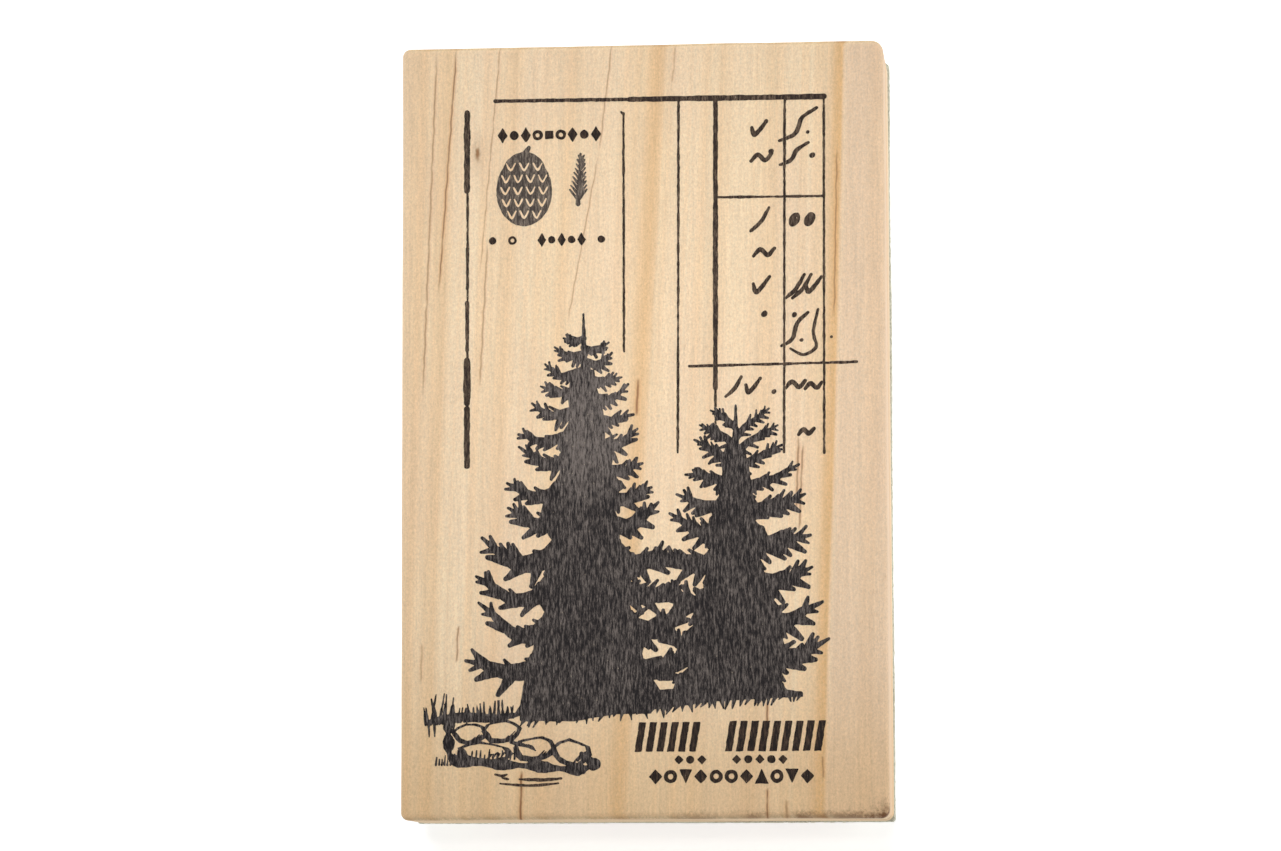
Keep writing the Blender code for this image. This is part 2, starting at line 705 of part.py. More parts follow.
def filled(loops):
    """Triangles within the loops, whose edges they keep, and how many loops run round each triangle.

    The last list gives the points that each made point comes from: none where two loops cross.
    """
    points, polygons = [], []
    for loop in loops:
        numbers = list(range(len(points), len(points) + len(loop)))
        polygons.append(numbers if area(loop) > 0 else numbers[::-1])
        points += loop
    made, _, faces, sources, _, owners = delaunay_2d_cdt(points, [], polygons, 1, 1e-5)
    return [tuple(p) for p in made], [tuple(face) for face in faces], [len(o) for o in owners], sources


def rim(faces):
    """The edges that only one face has, in that face's direction."""
    edges = {(face[i], face[(i + 1) % len(face)]) for face in faces for i in range(len(face))}
    return [edge for edge in edges if (edge[1], edge[0]) not in edges]


def fans(faces):
    """Faces that share a point, in groups that are joined by their edges."""
    groups = []
    for face in faces:
        touching = [g for g in groups if any(len(set(face) & set(other)) > 1 for other in g)]
        groups = [g for g in groups if g not in touching]
        groups.append([face, *(other for g in touching for other in g)])
    return groups


def parted(points, faces):
    """Where faces meet at one point only, each side gets a point of its own, drawn back from the others."""
    around = {}
    for face in faces:
        for corner in face:
            around.setdefault(corner, []).append(face)
    swaps = {}
    for corner in sorted(around):
        groups = fans(around[corner])
        if len(groups) < 2:
            continue
        x, y = points[corner]
        for group in groups:
            spots = [points[c] for face in group for c in face]
            dx, dy = (sum(p[a] for p in spots) / len(spots) - points[corner][a] for a in (0, 1))
            share = PINCH_GAP / math.hypot(dx, dy)
            points.append((x + dx * share, y + dy * share))
            swaps.update({(face, corner): len(points) - 1 for face in group})
    return points, [tuple(swaps.get((face, c), c) for c in face) for face in faces]


def printed(name, art, look):
    """A thin layer of ink in the shape of the artwork's largest area."""
    flat, faces, depths, _ = filled(largest_shape(clean_outlines(art)))
    flat, faces = parted(flat, [face for face, depth in zip(faces, depths) if depth % 2])
    count = len(flat)
    points = [(x, y, INK_LOW) for x, y in flat] + [(x, y, INK_LOW + INK_THICKNESS) for x, y in flat]
    lids = [face[::-1] for face in faces] + [tuple(i + count for i in face) for face in faces]
    walls = [(a, b, b + count, a + count) for a, b in sorted(rim(faces))]
    return solid(name, points, lids + walls, look)


def field_at(art, point):
    column = int(round((point[0] - WINDOW[0]) / art.step))
    row = int(round((point[1] - WINDOW[1]) / art.step))
    return float(art.field[row, column])


def moulded_die(name, art, look):
    """The rubber sheet with the artwork standing down from it, on walls that spread towards the sheet."""
    heights = []
    loops = []
    for level, height in ((0.0, 0.0), (-WALL_RUN, RELIEF_HEIGHT)):
        for loop in clean_outlines(art, level):
            loops.append(loop)
            heights += [height] * len(loop)
    loops.append(list(DIE_TRIM))
    heights += [RELIEF_HEIGHT] * len(DIE_TRIM)
    flat, faces, _, sources = filled(loops)
    points = []
    for (x, y), source in zip(flat, sources):
        share = min(max(-field_at(art, (x, y)) / WALL_RUN, 0.0), 1.0)
        points.append((x, y, heights[source[0]] if source else share * RELIEF_HEIGHT))
    side = dict(rim(faces))
    edge = [min(side)]
    while side[edge[-1]] != edge[0]:
        edge.append(side[edge[-1]])
    count = len(points)
    points += [(points[i][0], points[i][1], DIE_BACK) for i in edge]
    back = tuple(range(count, len(points)))
    walls = []
    for i, low in enumerate(edge):
        after = (i + 1) % len(edge)
        walls.append((low, edge[after], count + after, count + i))
    return solid(name, points, [*faces, *walls, back], look)


# The pieces


def wood_block():
    """The pine block, its long edges and corners eased by sanding."""
    size = (BLOCK_WIDTH, BLOCK_LENGTH)
    slab("wood_block", size, BLOCK_CORNERS, BLOCK_LOW, BLOCK_TOP, pine(), (BLOCK_LOW_EDGE, BLOCK_TOP_EDGE))


def block_adhesive():
    """The double-sided film between the block and the cushion."""
    size = (BLOCK_WIDTH - 2 * FILM_INSET, BLOCK_LENGTH - 2 * FILM_INSET)
    slab("block_adhesive", size, BLOCK_CORNERS, BLOCK_FILM_LOW, BLOCK_FILM_HIGH, film())


def foam_cushion():
    """The foam sheet, trimmed round the block and left a little proud of it."""
    size = (BLOCK_WIDTH + 2 * CUSHION_PROUD, BLOCK_LENGTH + 2 * CUSHION_PROUD)
    slab("foam_cushion", size, CUSHION_CORNERS, CUSHION_LOW, CUSHION_HIGH, foam())


def die_adhesive():
    """The film on the back of the rubber, trimmed with it."""
    centre = (sum(x for x, _ in DIE_TRIM) / len(DIE_TRIM), sum(y for _, y in DIE_TRIM) / len(DIE_TRIM))
    outline = []
    for x, y in DIE_TRIM:
        away = math.hypot(x - centre[0], y - centre[1])
        share = 1 - DIE_FILM_INSET / away
        outline.append((centre[0] + (x - centre[0]) * share, centre[1] + (y - centre[1]) * share))
    rings = [[(x, y, z) for x, y in outline] for z in (DIE_FILM_LOW, DIE_FILM_HIGH)]
    made = stacked("die_adhesive", rings, film())
    made.data.shade_flat()


def drawn(*draw):
    """A sheet of artwork with the given shapes on it."""
    art = Artwork(GRID_STEP)
    for shapes in draw:
        shapes(art)
    return art


def index_print(groups):
    """The large connected areas of ink on the top face. Each keeps a small gap to those before it."""
    look = ink()
    taken = Artwork(GRID_STEP)
    for name, art in groups.items():
        own = Artwork(GRID_STEP)
        own.field = np.minimum(art.field, -(taken.field + PRINT_GAP))
        printed(name, own, look)
        taken.add(art)


def main():
    for old in list(bpy.data.objects):
        bpy.data.objects.remove(old, do_unlink=True)
    groups = {
        "print_spruces": drawn(draw_spruces, draw_ground, draw_grass, draw_stones),
        "print_ledger": drawn(draw_ledger),
        "print_left_rule": drawn(draw_left_rule),
        "print_centre_rule": drawn(draw_centre_rule),
        "print_cone": drawn(draw_cone),
        "print_sprig": drawn(draw_sprig),
    }
    relief = drawn(draw_ripples, draw_ornaments, draw_pen_marks)
    for art in groups.values():
        relief.add(art)
    moulded_die("rubber_die", relief, red_rubber())
    die_adhesive()
    foam_cushion()
    block_adhesive()
    wood_block()
    index_print(groups)


main()
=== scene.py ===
"""The looks of a wood-mounted rubber stamp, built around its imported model.

The artwork is drawn as distances on a fine grid, and its outlines become thin layers of ink on the block
and the relief of the rubber. Lengths are in millimetres up to the last step, which makes each mesh in
metres.
"""

import math
import random

import bmesh
import bpy
import numpy as np
from mathutils import Matrix, Vector
from mathutils.geometry import delaunay_2d_cdt


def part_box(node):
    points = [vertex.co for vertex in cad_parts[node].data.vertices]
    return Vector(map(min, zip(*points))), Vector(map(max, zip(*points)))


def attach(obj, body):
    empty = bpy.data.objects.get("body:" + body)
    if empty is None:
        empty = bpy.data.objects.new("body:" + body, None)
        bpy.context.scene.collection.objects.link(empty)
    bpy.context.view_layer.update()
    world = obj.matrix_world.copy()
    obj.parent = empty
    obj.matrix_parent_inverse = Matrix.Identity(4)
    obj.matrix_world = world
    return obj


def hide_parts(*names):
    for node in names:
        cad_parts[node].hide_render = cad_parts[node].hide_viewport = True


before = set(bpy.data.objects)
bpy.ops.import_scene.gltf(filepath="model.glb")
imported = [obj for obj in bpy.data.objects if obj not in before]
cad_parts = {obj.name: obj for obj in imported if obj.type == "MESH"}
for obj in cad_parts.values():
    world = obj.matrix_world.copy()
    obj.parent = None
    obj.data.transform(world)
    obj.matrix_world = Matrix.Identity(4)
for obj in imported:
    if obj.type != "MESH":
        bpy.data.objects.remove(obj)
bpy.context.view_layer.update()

MM = 0.001

# Outlines. Corner radii run anticlockwise from the near left corner.
BLOCK_CORNERS = (1.1, 1.3, 1.8, 1.2)
CUSHION_CORNERS = (0.6, 0.6, 0.9, 0.7)
BLOCK_TOP_EDGE = 1.0
BLOCK_LOW_EDGE = 0.35
CUSHION_EDGE = 0.18
SIDE_SPACING = 0.9
CUSHION_SPACING = 0.45
SIDE_LEVELS = 8
CUSHION_LEVELS = 9
CORNER_STEPS = 9
EDGE_STEPS = 8
DIE_TRIM = (
    (-27.9, 50.6), (-28.1, -3.0), (-29.2, -31.5), (-33.3, -36.2), (-33.2, -47.2), (-24.6, -53.3),
    (28.2, -53.4), (28.7, -28.0), (28.6, 5.6), (32.9, 7.0), (33.0, 11.2), (29.0, 13.0), (28.8, 50.3),
)

# The artwork's grid, and how its outlines become solids
WINDOW = (-34.0, -55.0, 34.0, 53.0)
INK_STEP = 0.10
RELIEF_STEP = 0.16
REACH = 0.7
FAR = -9.0
SMALLEST_AREA = 0.012
OUTLINE_TOLERANCE = 0.012
RELIEF_TOLERANCE = 0.03
EDGE_NOISE_SIZE = 0.45
EDGE_NOISE_DEPTH = 0.05
PRINT_GAP = 0.015
PINCH_GAP = 0.01
RELIEF_HEIGHT = 1.2
RELIEF_PROFILE = ((0.0, 0.0), (-0.05, 0.06), (-0.20, 0.90), (-0.30, 1.12), (-0.44, RELIEF_HEIGHT))


# Artwork: shapes are drawn as distances on a grid, positive inside the ink


class Artwork:
    """A grid of distances in millimetres to the edge of the drawn shapes."""

    def __init__(self, step):
        self.step = step
        self.x = np.arange(WINDOW[0], WINDOW[2] + step / 2, step)
        self.y = np.arange(WINDOW[1], WINDOW[3] + step / 2, step)
        self.field = np.full((len(self.y), len(self.x)), FAR)

    def part(self, spots, margin, origin=(0.0, 0.0)):
        """The part of the grid around some spots, and its x and y measured from an origin."""
        place = []
        for axis in (1, 0):
            along = [spot[axis] for spot in spots]
            first = (min(along) - margin - REACH - WINDOW[axis]) / self.step
            last = (max(along) + margin + REACH - WINDOW[axis]) / self.step
            place.append(slice(max(int(first), 0), int(last) + 2))
        rows, columns = place
        return (rows, columns), self.x[columns][None, :] - origin[0], self.y[rows][:, None] - origin[1]

    def blend(self, place, inside, cut):
        """Adds a shape to the ink, or cuts it out."""
        old = self.field[place]
        self.field[place] = np.minimum(old, -inside) if cut else np.maximum(old, inside)

    def line(self, start, end, first, last, cut=False):
        """A straight stroke with round ends, whose radius runs from first to last."""
        place, x, y = self.part((start, end), max(first, last), start)
        dx, dy = end[0] - start[0], end[1] - start[1]
        along = np.clip((x * dx + y * dy) / max(dx * dx + dy * dy, 1e-9), 0, 1)
        self.blend(place, first + along * (last - first) - np.hypot(x - along * dx, y - along * dy), cut)

    def stroke(self, points, radii, cut=False):
        """A stroke through points, with a radius at each."""
        for i in range(len(points) - 1):
            self.line(points[i], points[i + 1], radii[i], radii[i + 1], cut)

    def oval(self, centre, rx, ry, turn=0.0, cut=False):
        """A filled ellipse."""
        place, x, y = self.part((centre,), max(rx, ry), centre)
        c, s = math.cos(turn), math.sin(turn)
        u, v = (x * c + y * s) / rx, (y * c - x * s) / ry
        q = np.maximum(np.hypot(u, v), 1e-6)
        slope = np.maximum(np.hypot(u / rx, v / ry) / q, 1e-6)
        self.blend(place, (1 - q) / slope, cut)

    def polygon(self, corners, cut=False):
        """A filled polygon."""
        place, x, y = self.part(corners, 0.0)
        near = np.full((y.shape[0], x.shape[1]), -FAR)
        inside = np.zeros(near.shape, bool)
        for a, b in zip(corners, corners[1:] + corners[:1]):
            dx, dy = b[0] - a[0], b[1] - a[1]
            along = np.clip(((x - a[0]) * dx + (y - a[1]) * dy) / (dx * dx + dy * dy), 0, 1)
            near = np.minimum(near, np.hypot(x - a[0] - along * dx, y - a[1] - along * dy))
            if dy:
                inside ^= ((a[1] > y) != (b[1] > y)) & (x < a[0] + (y - a[1]) * dx / dy)
        self.blend(place, np.where(inside, near, -near), cut)

    def add(self, other):
        self.field = np.maximum(self.field, other.field)


def curve(points, steps):
    """Points along a smooth open curve through the given ones (Catmull-Rom)."""
    p = [points[0], *points, points[-1]]
    found = []
    for i in range(1, len(p) - 2):
        for k in range(steps):
            t = k / steps
            place = []
            for a in (0, 1):
                straight = p[i + 1][a] - p[i - 1][a]
                square = 2 * p[i - 1][a] - 5 * p[i][a] + 4 * p[i + 1][a] - p[i + 2][a]
                cube = 3 * p[i][a] - p[i - 1][a] - 3 * p[i + 1][a] + p[i + 2][a]
                place.append(p[i][a] + 0.5 * (straight * t + square * t * t + cube * t**3))
            found.append(tuple(place))
    found.append(tuple(points[-1]))
    return found


def turned(vector, angle):
    c, s = math.cos(angle), math.sin(angle)
    return vector[0] * c - vector[1] * s, vector[0] * s + vector[1] * c


def pen(art, points, width, end):
    """A pen stroke: thickest in its middle, with ends a share of that width."""
    line = curve(points, 6)
    last = len(line) - 1
    radii = []
    for i in range(last + 1):
        swell = math.sin(math.pi * min(max(i / last, 0.08), 0.92)) ** 0.6
        radii.append(width / 2 * (end + (1 - end) * swell))
    art.stroke(line, radii)


def finger(art, base, direction, length, root, tip=0.09):
    """A short tapered stroke from a base point."""
    size = math.hypot(*direction)
    end = (base[0] + direction[0] / size * length, base[1] + direction[1] / size * length)
    art.line(base, end, root, tip)


# Spruces

# How fast a spruce's dark middle widens downwards
CORE_POWER = 0.98


def bough(art, rng, root, side, reach, drop, lift, thick):
    """One bough: a tapered limb that sinks and turns up at its tip, with blunt fingers of foliage."""
    shape = ((0.0, 0.0), (0.34, -0.60), (0.72, -1.0))
    bends = [(root[0] + side * u * reach, root[1] + v * drop) for u, v in shape]
    spine = curve([*bends, (root[0] + side * reach, root[1] - drop + lift)], 4)
    last = len(spine) - 1
    radii = [thick / 2 * (1 - 0.70 * (i / last) ** 1.4) + 0.07 for i in range(last + 1)]
    art.stroke(spine, radii)
    for i in range(2, last):
        u = i / last
        ahead = (spine[i + 1][0] - spine[i][0], spine[i + 1][1] - spine[i][1])
        length = (0.45 + 0.62 * thick) * (1.25 - 0.5 * u)
        if i % 2 == 0:
            base = (spine[i][0], spine[i][1] - radii[i] * 0.4)
            way = turned(ahead, -side * math.radians(rng.uniform(26, 66)))
            long = length * rng.uniform(0.8, 1.35)
            finger(art, base, way, long, 0.17 + 0.20 * thick, 0.13 + 0.06 * thick)
        if u > 0.35 and rng.random() < 0.62:
            base = (spine[i][0], spine[i][1] + radii[i] * 0.4)
            way = turned(ahead, side * math.radians(rng.uniform(22, 52)))
            long = length * rng.uniform(0.6, 1.2)
            finger(art, base, way, long, 0.14 + 0.12 * thick, 0.11 + 0.04 * thick)
    ahead = (spine[-1][0] - spine[-2][0], spine[-1][1] - spine[-2][1])
    for degrees, stretch in ((-40, 0.75), (-4, 1.0), (32, 0.8)):
        angle = side * math.radians(degrees + rng.uniform(-9, 9))
        length = (0.5 + 0.55 * thick) * stretch * rng.uniform(0.8, 1.25)
        finger(art, spine[-1], turned(ahead, angle), length, 0.14 + 0.11 * thick, 0.12 + 0.03 * thick)


def core(art, rng, axis, top, height, spread, fullness):
    """The dark middle of a tree, which widens downwards and has ragged sides."""
    left, right = [], []
    for k in range(25):
        t = 0.14 + 0.86 * k / 24
        half = 0.35 + fullness * spread * t**CORE_POWER
        left.append((axis(t) - half * rng.uniform(0.74, 1.12), top - t * height))
        right.append((axis(t) + half * rng.uniform(0.74, 1.12), top - t * height))
    art.polygon(left + right[::-1])
    for side, edge in ((-1, left), (1, right)):
        for x, y in edge[4:-1]:
            direction = (side * rng.uniform(0.4, 1.3), -1)
            finger(art, (x - side * 0.3, y), direction, rng.uniform(0.8, 1.9), 0.50, 0.20)


def spruce(art, rng, apex, base, spread, power, tiers, fullness, climb, inner):
    """A spruce from its apex to its base: a leader, a dark core and tiers of boughs on both sides.

    The upper boughs rise by the given climb, a share of their reach, and the lower ones sink.
    The boughs on the inner side, -1 or 1, are the shorter ones.
    """
    height = apex[1] - base[1]

    def axis(t):
        return apex[0] + (base[0] - apex[0]) * t

    art.line(apex, (axis(0.3), apex[1] - 0.3 * height), 0.15, 0.95)
    core(art, rng, axis, apex[1], height, spread, fullness)
    for side in (-1, 1):
        t = 0.075 + 0.012 * side
        for k in range(tiers):
            reach = spread * (1 - 0.09 * side * inner) * t**power * rng.uniform(0.86, 1.08)
            drop = reach * (rng.uniform(0.14, 0.26) - climb * (1 - t) ** 2) + 0.2
            lift = reach * rng.uniform(0.06, 0.24)
            thick = 0.45 + 3.0 * min(1.0, t / 0.6) * rng.uniform(0.80, 1.15)
            root = (axis(t), apex[1] - t * height + 0.4 * drop)
            bough(art, rng, root, side, reach, drop, lift, thick)
            t += 0.90 / tiers * (0.50 + 1.0 * (k + 0.5) / tiers) * rng.uniform(0.9, 1.1)


def draw_spruces(art):
    spruce(art, random.Random(7), (-8.5, 16.6), (-7.9, -41.0), 16.8, 0.72, 13, 0.60, 0.15, 1)
    spruce(art, random.Random(11), (13.4, 3.1), (12.9, -38.6), 11.8, 0.46, 9, 0.66, 1.05, -1)


# The bank under the trees


def draw_ground(art):
    """Earth under both trees, with a ragged lower fringe."""
    rng = random.Random(3)
    top = [(-17.8, -40.4), (-8.0, -38.0), (4.0, -37.5), (13.0, -36.6), (22.6, -38.0)]
    low = [(22.8, -38.7), (10.0, -39.3), (3.0, -40.2), (-4.0, -41.0), (-10.0, -42.0), (-17.8, -41.9)]
    art.polygon(top + low)
    x = -17.0
    while x < 22.8:
        y = -41.9 + 3.3 * (x + 17.5) / 40.4
        direction = (rng.uniform(-0.9, 0.3), -1)
        finger(art, (x, y + 0.35), direction, rng.uniform(0.7, 1.7), 0.36)
        x += rng.uniform(0.55, 1.15)


def draw_grass(art):
    """A clump of upright blades at the left end of the bank, with hatching below it."""
    rng = random.Random(4)
    bank = curve([(-30.8, -41.8), (-26.5, -41.2), (-22.0, -41.5), (-17.6, -40.9)], 8)
    art.stroke(bank, [0.20 + 0.45 * math.sin(math.pi * i / 24) for i in range(25)])
    x = -31.3
    while x < -18.4:
        rise = 1.0 if x < -27.0 else 0.55
        foot = -42.3 + 0.08 * (x + 31)
        finger(art, (x, foot), (rng.uniform(-0.22, 0.2), 1), rng.uniform(2.2, 4.8) * rise, 0.24)
        x += rng.uniform(0.28, 0.55)
    for x in (-30.9, -30.1, -27.4):
        finger(art, (x, -42.0), (0.05, -1), rng.uniform(1.6, 3.0), 0.24)
    x = -29.8
    while x < -26.8:
        finger(art, (x, -48.1), (0.08, 1), rng.uniform(0.9, 1.7) * (0.6 + 0.25 * (x + 30)), 0.16)
        x += rng.uniform(0.38, 0.5)


def boulder(art, rng, centre, rx, ry, turn):
    """One stone: an uneven inked outline, its lit face cut out, and hatching in its shade."""
    outer, lit = [], []
    for k in range(11):
        angle = 2 * math.pi * k / 11
        reach = rng.uniform(0.88, 1.06)
        x, y = turned((rx * reach * math.cos(angle), ry * reach * math.sin(angle)), turn)
        outer.append((centre[0] + x, centre[1] + y))
        share = 0.76 - 0.16 * math.sin(angle - 0.9) * (1 if angle > math.pi else 0.2)
        lit.append((centre[0] + x * share - 0.04 * rx, centre[1] + y * (share - 0.10) + 0.14 * ry))
    art.polygon(outer)
    art.polygon(lit, cut=True)
    for k in range(4):
        base = (centre[0] + rx * (0.15 + 0.17 * k), centre[1] - ry * (0.62 - 0.10 * k))
        finger(art, base, (0.55, 0.62), rng.uniform(0.5, 1.0) * ry * 0.8, 0.16, 0.08)


def draw_stones(art):
    """Boulders at the water's edge, the shore below them and a few reeds."""
    rng = random.Random(5)
    boulders = (
        ((-25.0, -43.7), 2.6, 1.5, 0.10),
        ((-20.3, -43.4), 3.0, 1.8, 0.16),
        ((-22.9, -46.3), 4.0, 1.45, -0.06),
        ((-15.6, -45.9), 3.4, 1.9, 0.10),
        ((-10.4, -46.5), 3.0, 2.1, -0.10),
    )
    for centre, rx, ry, turn in boulders:
        boulder(art, rng, centre, rx, ry, turn)
    bank = [(-27.9, -42.2), (-28.0, -44.4), (-27.2, -47.4), (-21.0, -48.0), (-15.0, -48.4), (-9.5, -48.9)]
    shore = curve([*bank, (-7.0, -48.1)], 6)
    art.stroke(shore, [0.62 + 0.28 * math.sin(i * 1.1) for i in range(len(shore))])
    for i in range(15):
        finger(art, (-27.2 + 0.62 * i, -47.6 + 0.02 * i), (0.10, 1), rng.uniform(0.7, 1.6), 0.17, 0.09)
    for i in range(9):
        finger(art, (-19.0 + 0.36 * i, -44.9 - 0.08 * i), (0.75, -0.5), rng.uniform(0.5, 1.2), 0.24, 0.10)
    for i in range(8):
        finger(art, (-8.9 + 0.24 * i, -46.6 - 0.14 * i), (0.5, -1), rng.uniform(0.8, 1.4), 0.30, 0.16)


def draw_ripples(art):
    for width, *points in (
        (0.42, (-21.3, -49.5), (-20.3, -49.7), (-19.6, -49.5)),
        (0.36, (-20.3, -50.0), (-19.4, -50.2)),
        (0.52, (-17.8, -50.2), (-14.6, -50.3), (-11.8, -50.1)),
        (0.40, (-20.6, -50.8), (-16.3, -51.1), (-12.2, -50.8)),
    ):
        pen(art, points, width, 0.3)


# Rules


def rule(art, rng, start, end, width, rough):
    """A printed rule whose width wanders, as on a worn plate."""
    steps = max(2, int(math.hypot(end[0] - start[0], end[1] - start[1]) / 0.8))
    dx, dy = end[0] - start[0], end[1] - start[1]
    points, radii = [], []
    wide = 1.0
    for i in range(steps + 1):
        wide += (1.0 - wide) * 0.35 + rough * rng.uniform(-1, 1)
        t = i / steps
        drift = rough * 0.10 * rng.uniform(-1, 1)
        points.append((start[0] + dx * t + drift, start[1] + dy * t + drift))
        radii.append(max(0.08, width / 2 * wide))
    art.stroke(points, radii)


def draw_ledger(art):
    """A page of account-book rules: four verticals, two cross rules and the heavy bar along the top."""
    rng = random.Random(6)
    rule(art, rng, (-21.3, 47.95), (-1.2, 47.85), 0.52, 0.07)
    rule(art, rng, (-1.8, 47.85), (26.4, 47.75), 0.78, 0.07)
    rule(art, rng, (10.7, 47.6), (10.5, 5.6), 0.70, 0.07)
    rule(art, rng, (10.6, 33.3), (26.2, 33.25), 0.38, 0.10)
    rule(art, rng, (6.7, 8.85), (30.8, 9.15), 0.38, 0.10)
    for top, low in (
        ((5.35, 47.6), (5.05, -3.6)),
        ((10.5, 5.7), (10.45, -1.9)),
        ((20.7, 47.6), (20.3, -3.7)),
        ((26.35, 47.6), (26.05, -3.9)),
    ):
        rule(art, rng, top, low, 0.36, 0.10)


# Each stretch of the left rule: its upper end, its lower end and its width
LEFT_RULE = (
    (46.2, 41.4, 0.96), (41.4, 34.9, 1.04), (35.3, 26.2, 0.34), (26.4, 20.6, 0.52), (21.0, 18.2, 0.30),
    (18.5, 11.6, 0.62), (12.0, 9.8, 0.34), (10.1, 3.9, 0.84), (4.2, 2.8, 0.40), (3.1, -5.2, 0.88),
)


def draw_left_rule(art):
    """The rule down the left side, worn thin in its middle."""
    rng = random.Random(8)
    for top, low, width in LEFT_RULE:
        x = -25.3 - 0.12 * width
        rule(art, rng, (x, top), (x, low), width, 0.14)


def draw_centre_rule(art):
    rule(art, random.Random(9), (-2.65, 45.8), (-2.66, 11.1), 0.36, 0.10)
    art.line((-3.0, 46.05), (-2.65, 45.7), 0.13, 0.18)


# Emblems and ornaments


def draw_cone(art):
    """A bold spruce cone: an egg of ink with the edges of its scales cut out of it."""
    middle = -17.1
    art.oval((middle, 34.7), 4.05, 5.15)
    art.oval((middle, 36.8), 3.3, 3.6)
    art.line((middle, 40.0), (middle + 0.7, 41.0), 0.42, 0.30)
    for row, count in enumerate((3, 4, 4, 4, 3)):
        y = 38.2 - 1.75 * row
        half = 3.7 * math.sqrt(1 - ((y - 34.9) / 5.4) ** 2)
        for k in range(count):
            x = middle + (k - (count - 1) / 2) * 2 * half / count
            w = half / count * 0.66
            scale = curve([(x - w, y + 0.55), (x, y - 0.45), (x + w, y + 0.55)], 4)
            art.stroke(scale, [0.10 + 0.05 * math.sin(math.pi * i / 8) for i in range(9)], cut=True)


def draw_sprig(art):
    """A small upright fir sprig beside the cone."""
    stem = curve([(-9.3, 32.7), (-9.1, 36.0), (-8.9, 40.0)], 5)
    art.stroke(stem, [0.36 - 0.020 * i for i in range(len(stem))])
    for i in range(1, 10):
        base = (-9.28 + 0.055 * i, 32.5 + 0.75 * i)
        length = 2.1 * (1 - 0.075 * i)
        for side in (-0.8, 0.8):
            finger(art, base, (side, 1), length, 0.27, 0.12)


def slanted_bars(art, start, end, low, high, count):
    """A row of leaning bars, such as the border of an air letter has."""
    pitch = (end - start) / count
    for i in range(count):
        x = start + pitch * i
        wide = 0.64 * pitch
        art.polygon([(x, low), (x + wide, low), (x + wide + 0.7, high), (x + 0.7, high)])


def beads(art, start, end, middle, high, shapes):
    """A row of small marks: d a dot, r a ring, l a lozenge, b a block, v and w wedges, a space a gap."""
    pitch = (end - start) / len(shapes)
    h = high / 2
    r = min(h, pitch * 0.44)
    w = r * 0.8
    corners = {
        "l": ((-r, 0), (0, -h), (r, 0), (0, h)),
        "b": ((-w, -w), (w, -w), (w, w), (-w, w)),
        "v": ((-r, h), (r, h), (0, -h)),
        "w": ((-r, -h), (r, -h), (0, h)),
    }
    for i, shape in enumerate(shapes):
        x = start + pitch * (i + 0.5)
        if shape in corners:
            art.polygon([(x + u, middle + v) for u, v in corners[shape]])
        if shape == "d":
            art.oval((x, middle), r * 0.86, r * 0.86)
        if shape == "r":
            art.oval((x, middle), r, r)
            art.oval((x, middle), r * 0.42, r * 0.42, cut=True)


def draw_ornaments(art):
    slanted_bars(art, -1.3, 8.0, -46.4, -42.2, 6)
    slanted_bars(art, 11.6, 25.9, -46.4, -42.1, 9)
    beads(art, 4.2, 20.7, -47.55, 1.35, "ldl  ldldl")
    beads(art, 0.6, 24.4, -49.95, 2.1, "lrvlrrlwrvl")
    beads(art, -21.1, -5.8, 42.85, 2.3, "ldlrbrldl")
    beads(art, -22.4, -5.2, 27.5, 2.0, "d r  ldldl d")


TICK = ((-0.9, 0.1), (-0.5, -0.8), (0.9, 0.9))
WAVE = ((-1.0, -0.35), (-0.35, 0.3), (0.35, -0.25), (1.0, 0.4))
SLASH = ((-0.8, -1.0), (0.1, -0.2), (0.8, 1.0))


def marks(art, shape, width, places):
    """The same pen stroke at several places, each with a size."""
    for x, y, size in places:
        pen(art, [(x + u * size, y + v * size) for u, v in shape], width, 0.47)


def draw_pen_marks(art):
    """Pen strokes in the ledger's columns: ticks, waves, slashes and blots that spell nothing."""
    marks(art, TICK, 0.68, ((17.0, 43.3, 1.2), (17.2, 20.5, 1.3), (24.7, 20.4, 1.25), (15.9, 5.9, 1.15)))
    waves = ((17.3, 39.0, 1.5), (17.6, 25.2, 1.5), (22.0, 6.0, 1.4), (24.6, 5.8, 1.2), (23.5, -0.8, 1.1))
    marks(art, WAVE, 0.70, waves)
    marks(art, SLASH, 0.62, ((17.0, 30.0, 1.7), (22.0, 20.2, 1.7), (23.0, 20.2, 1.7), (13.1, 5.8, 1.4)))
    pen(art, [(25.3, 46.1), (23.2, 44.7), (22.2, 42.4), (19.9, 41.4)], 0.62, 0.5)
    pen(art, [(24.1, 41.1), (22.4, 40.0), (21.6, 38.6), (20.0, 37.9)], 0.62, 0.5)
    pen(art, [(25.3, 16.8), (24.6, 13.6), (25.0, 11.4), (23.2, 10.3), (21.3, 11.2)], 0.50, 0.6)
    pen(art, [(23.9, 16.4), (22.3, 14.9), (21.6, 12.6), (20.0, 11.6)], 0.62, 0.5)
    for x, y, r in (
        (24.0, 42.6, 0.30), (24.6, 39.2, 0.46), (18.0, 44.3, 0.36), (18.7, 39.9, 0.40), (15.9, 28.5, 0.34),
        (17.6, 16.3, 0.50), (18.9, 5.0, 0.40), (22.9, 12.4, 0.30), (27.2, 12.8, 0.24), (21.9, 16.1, 0.42),
    ):
        art.oval((x, y), r, r * 0.85, 0.6)
    for x in (22.0, 24.2):
        art.oval((x, 29.9), 0.74, 1.10, -0.5)


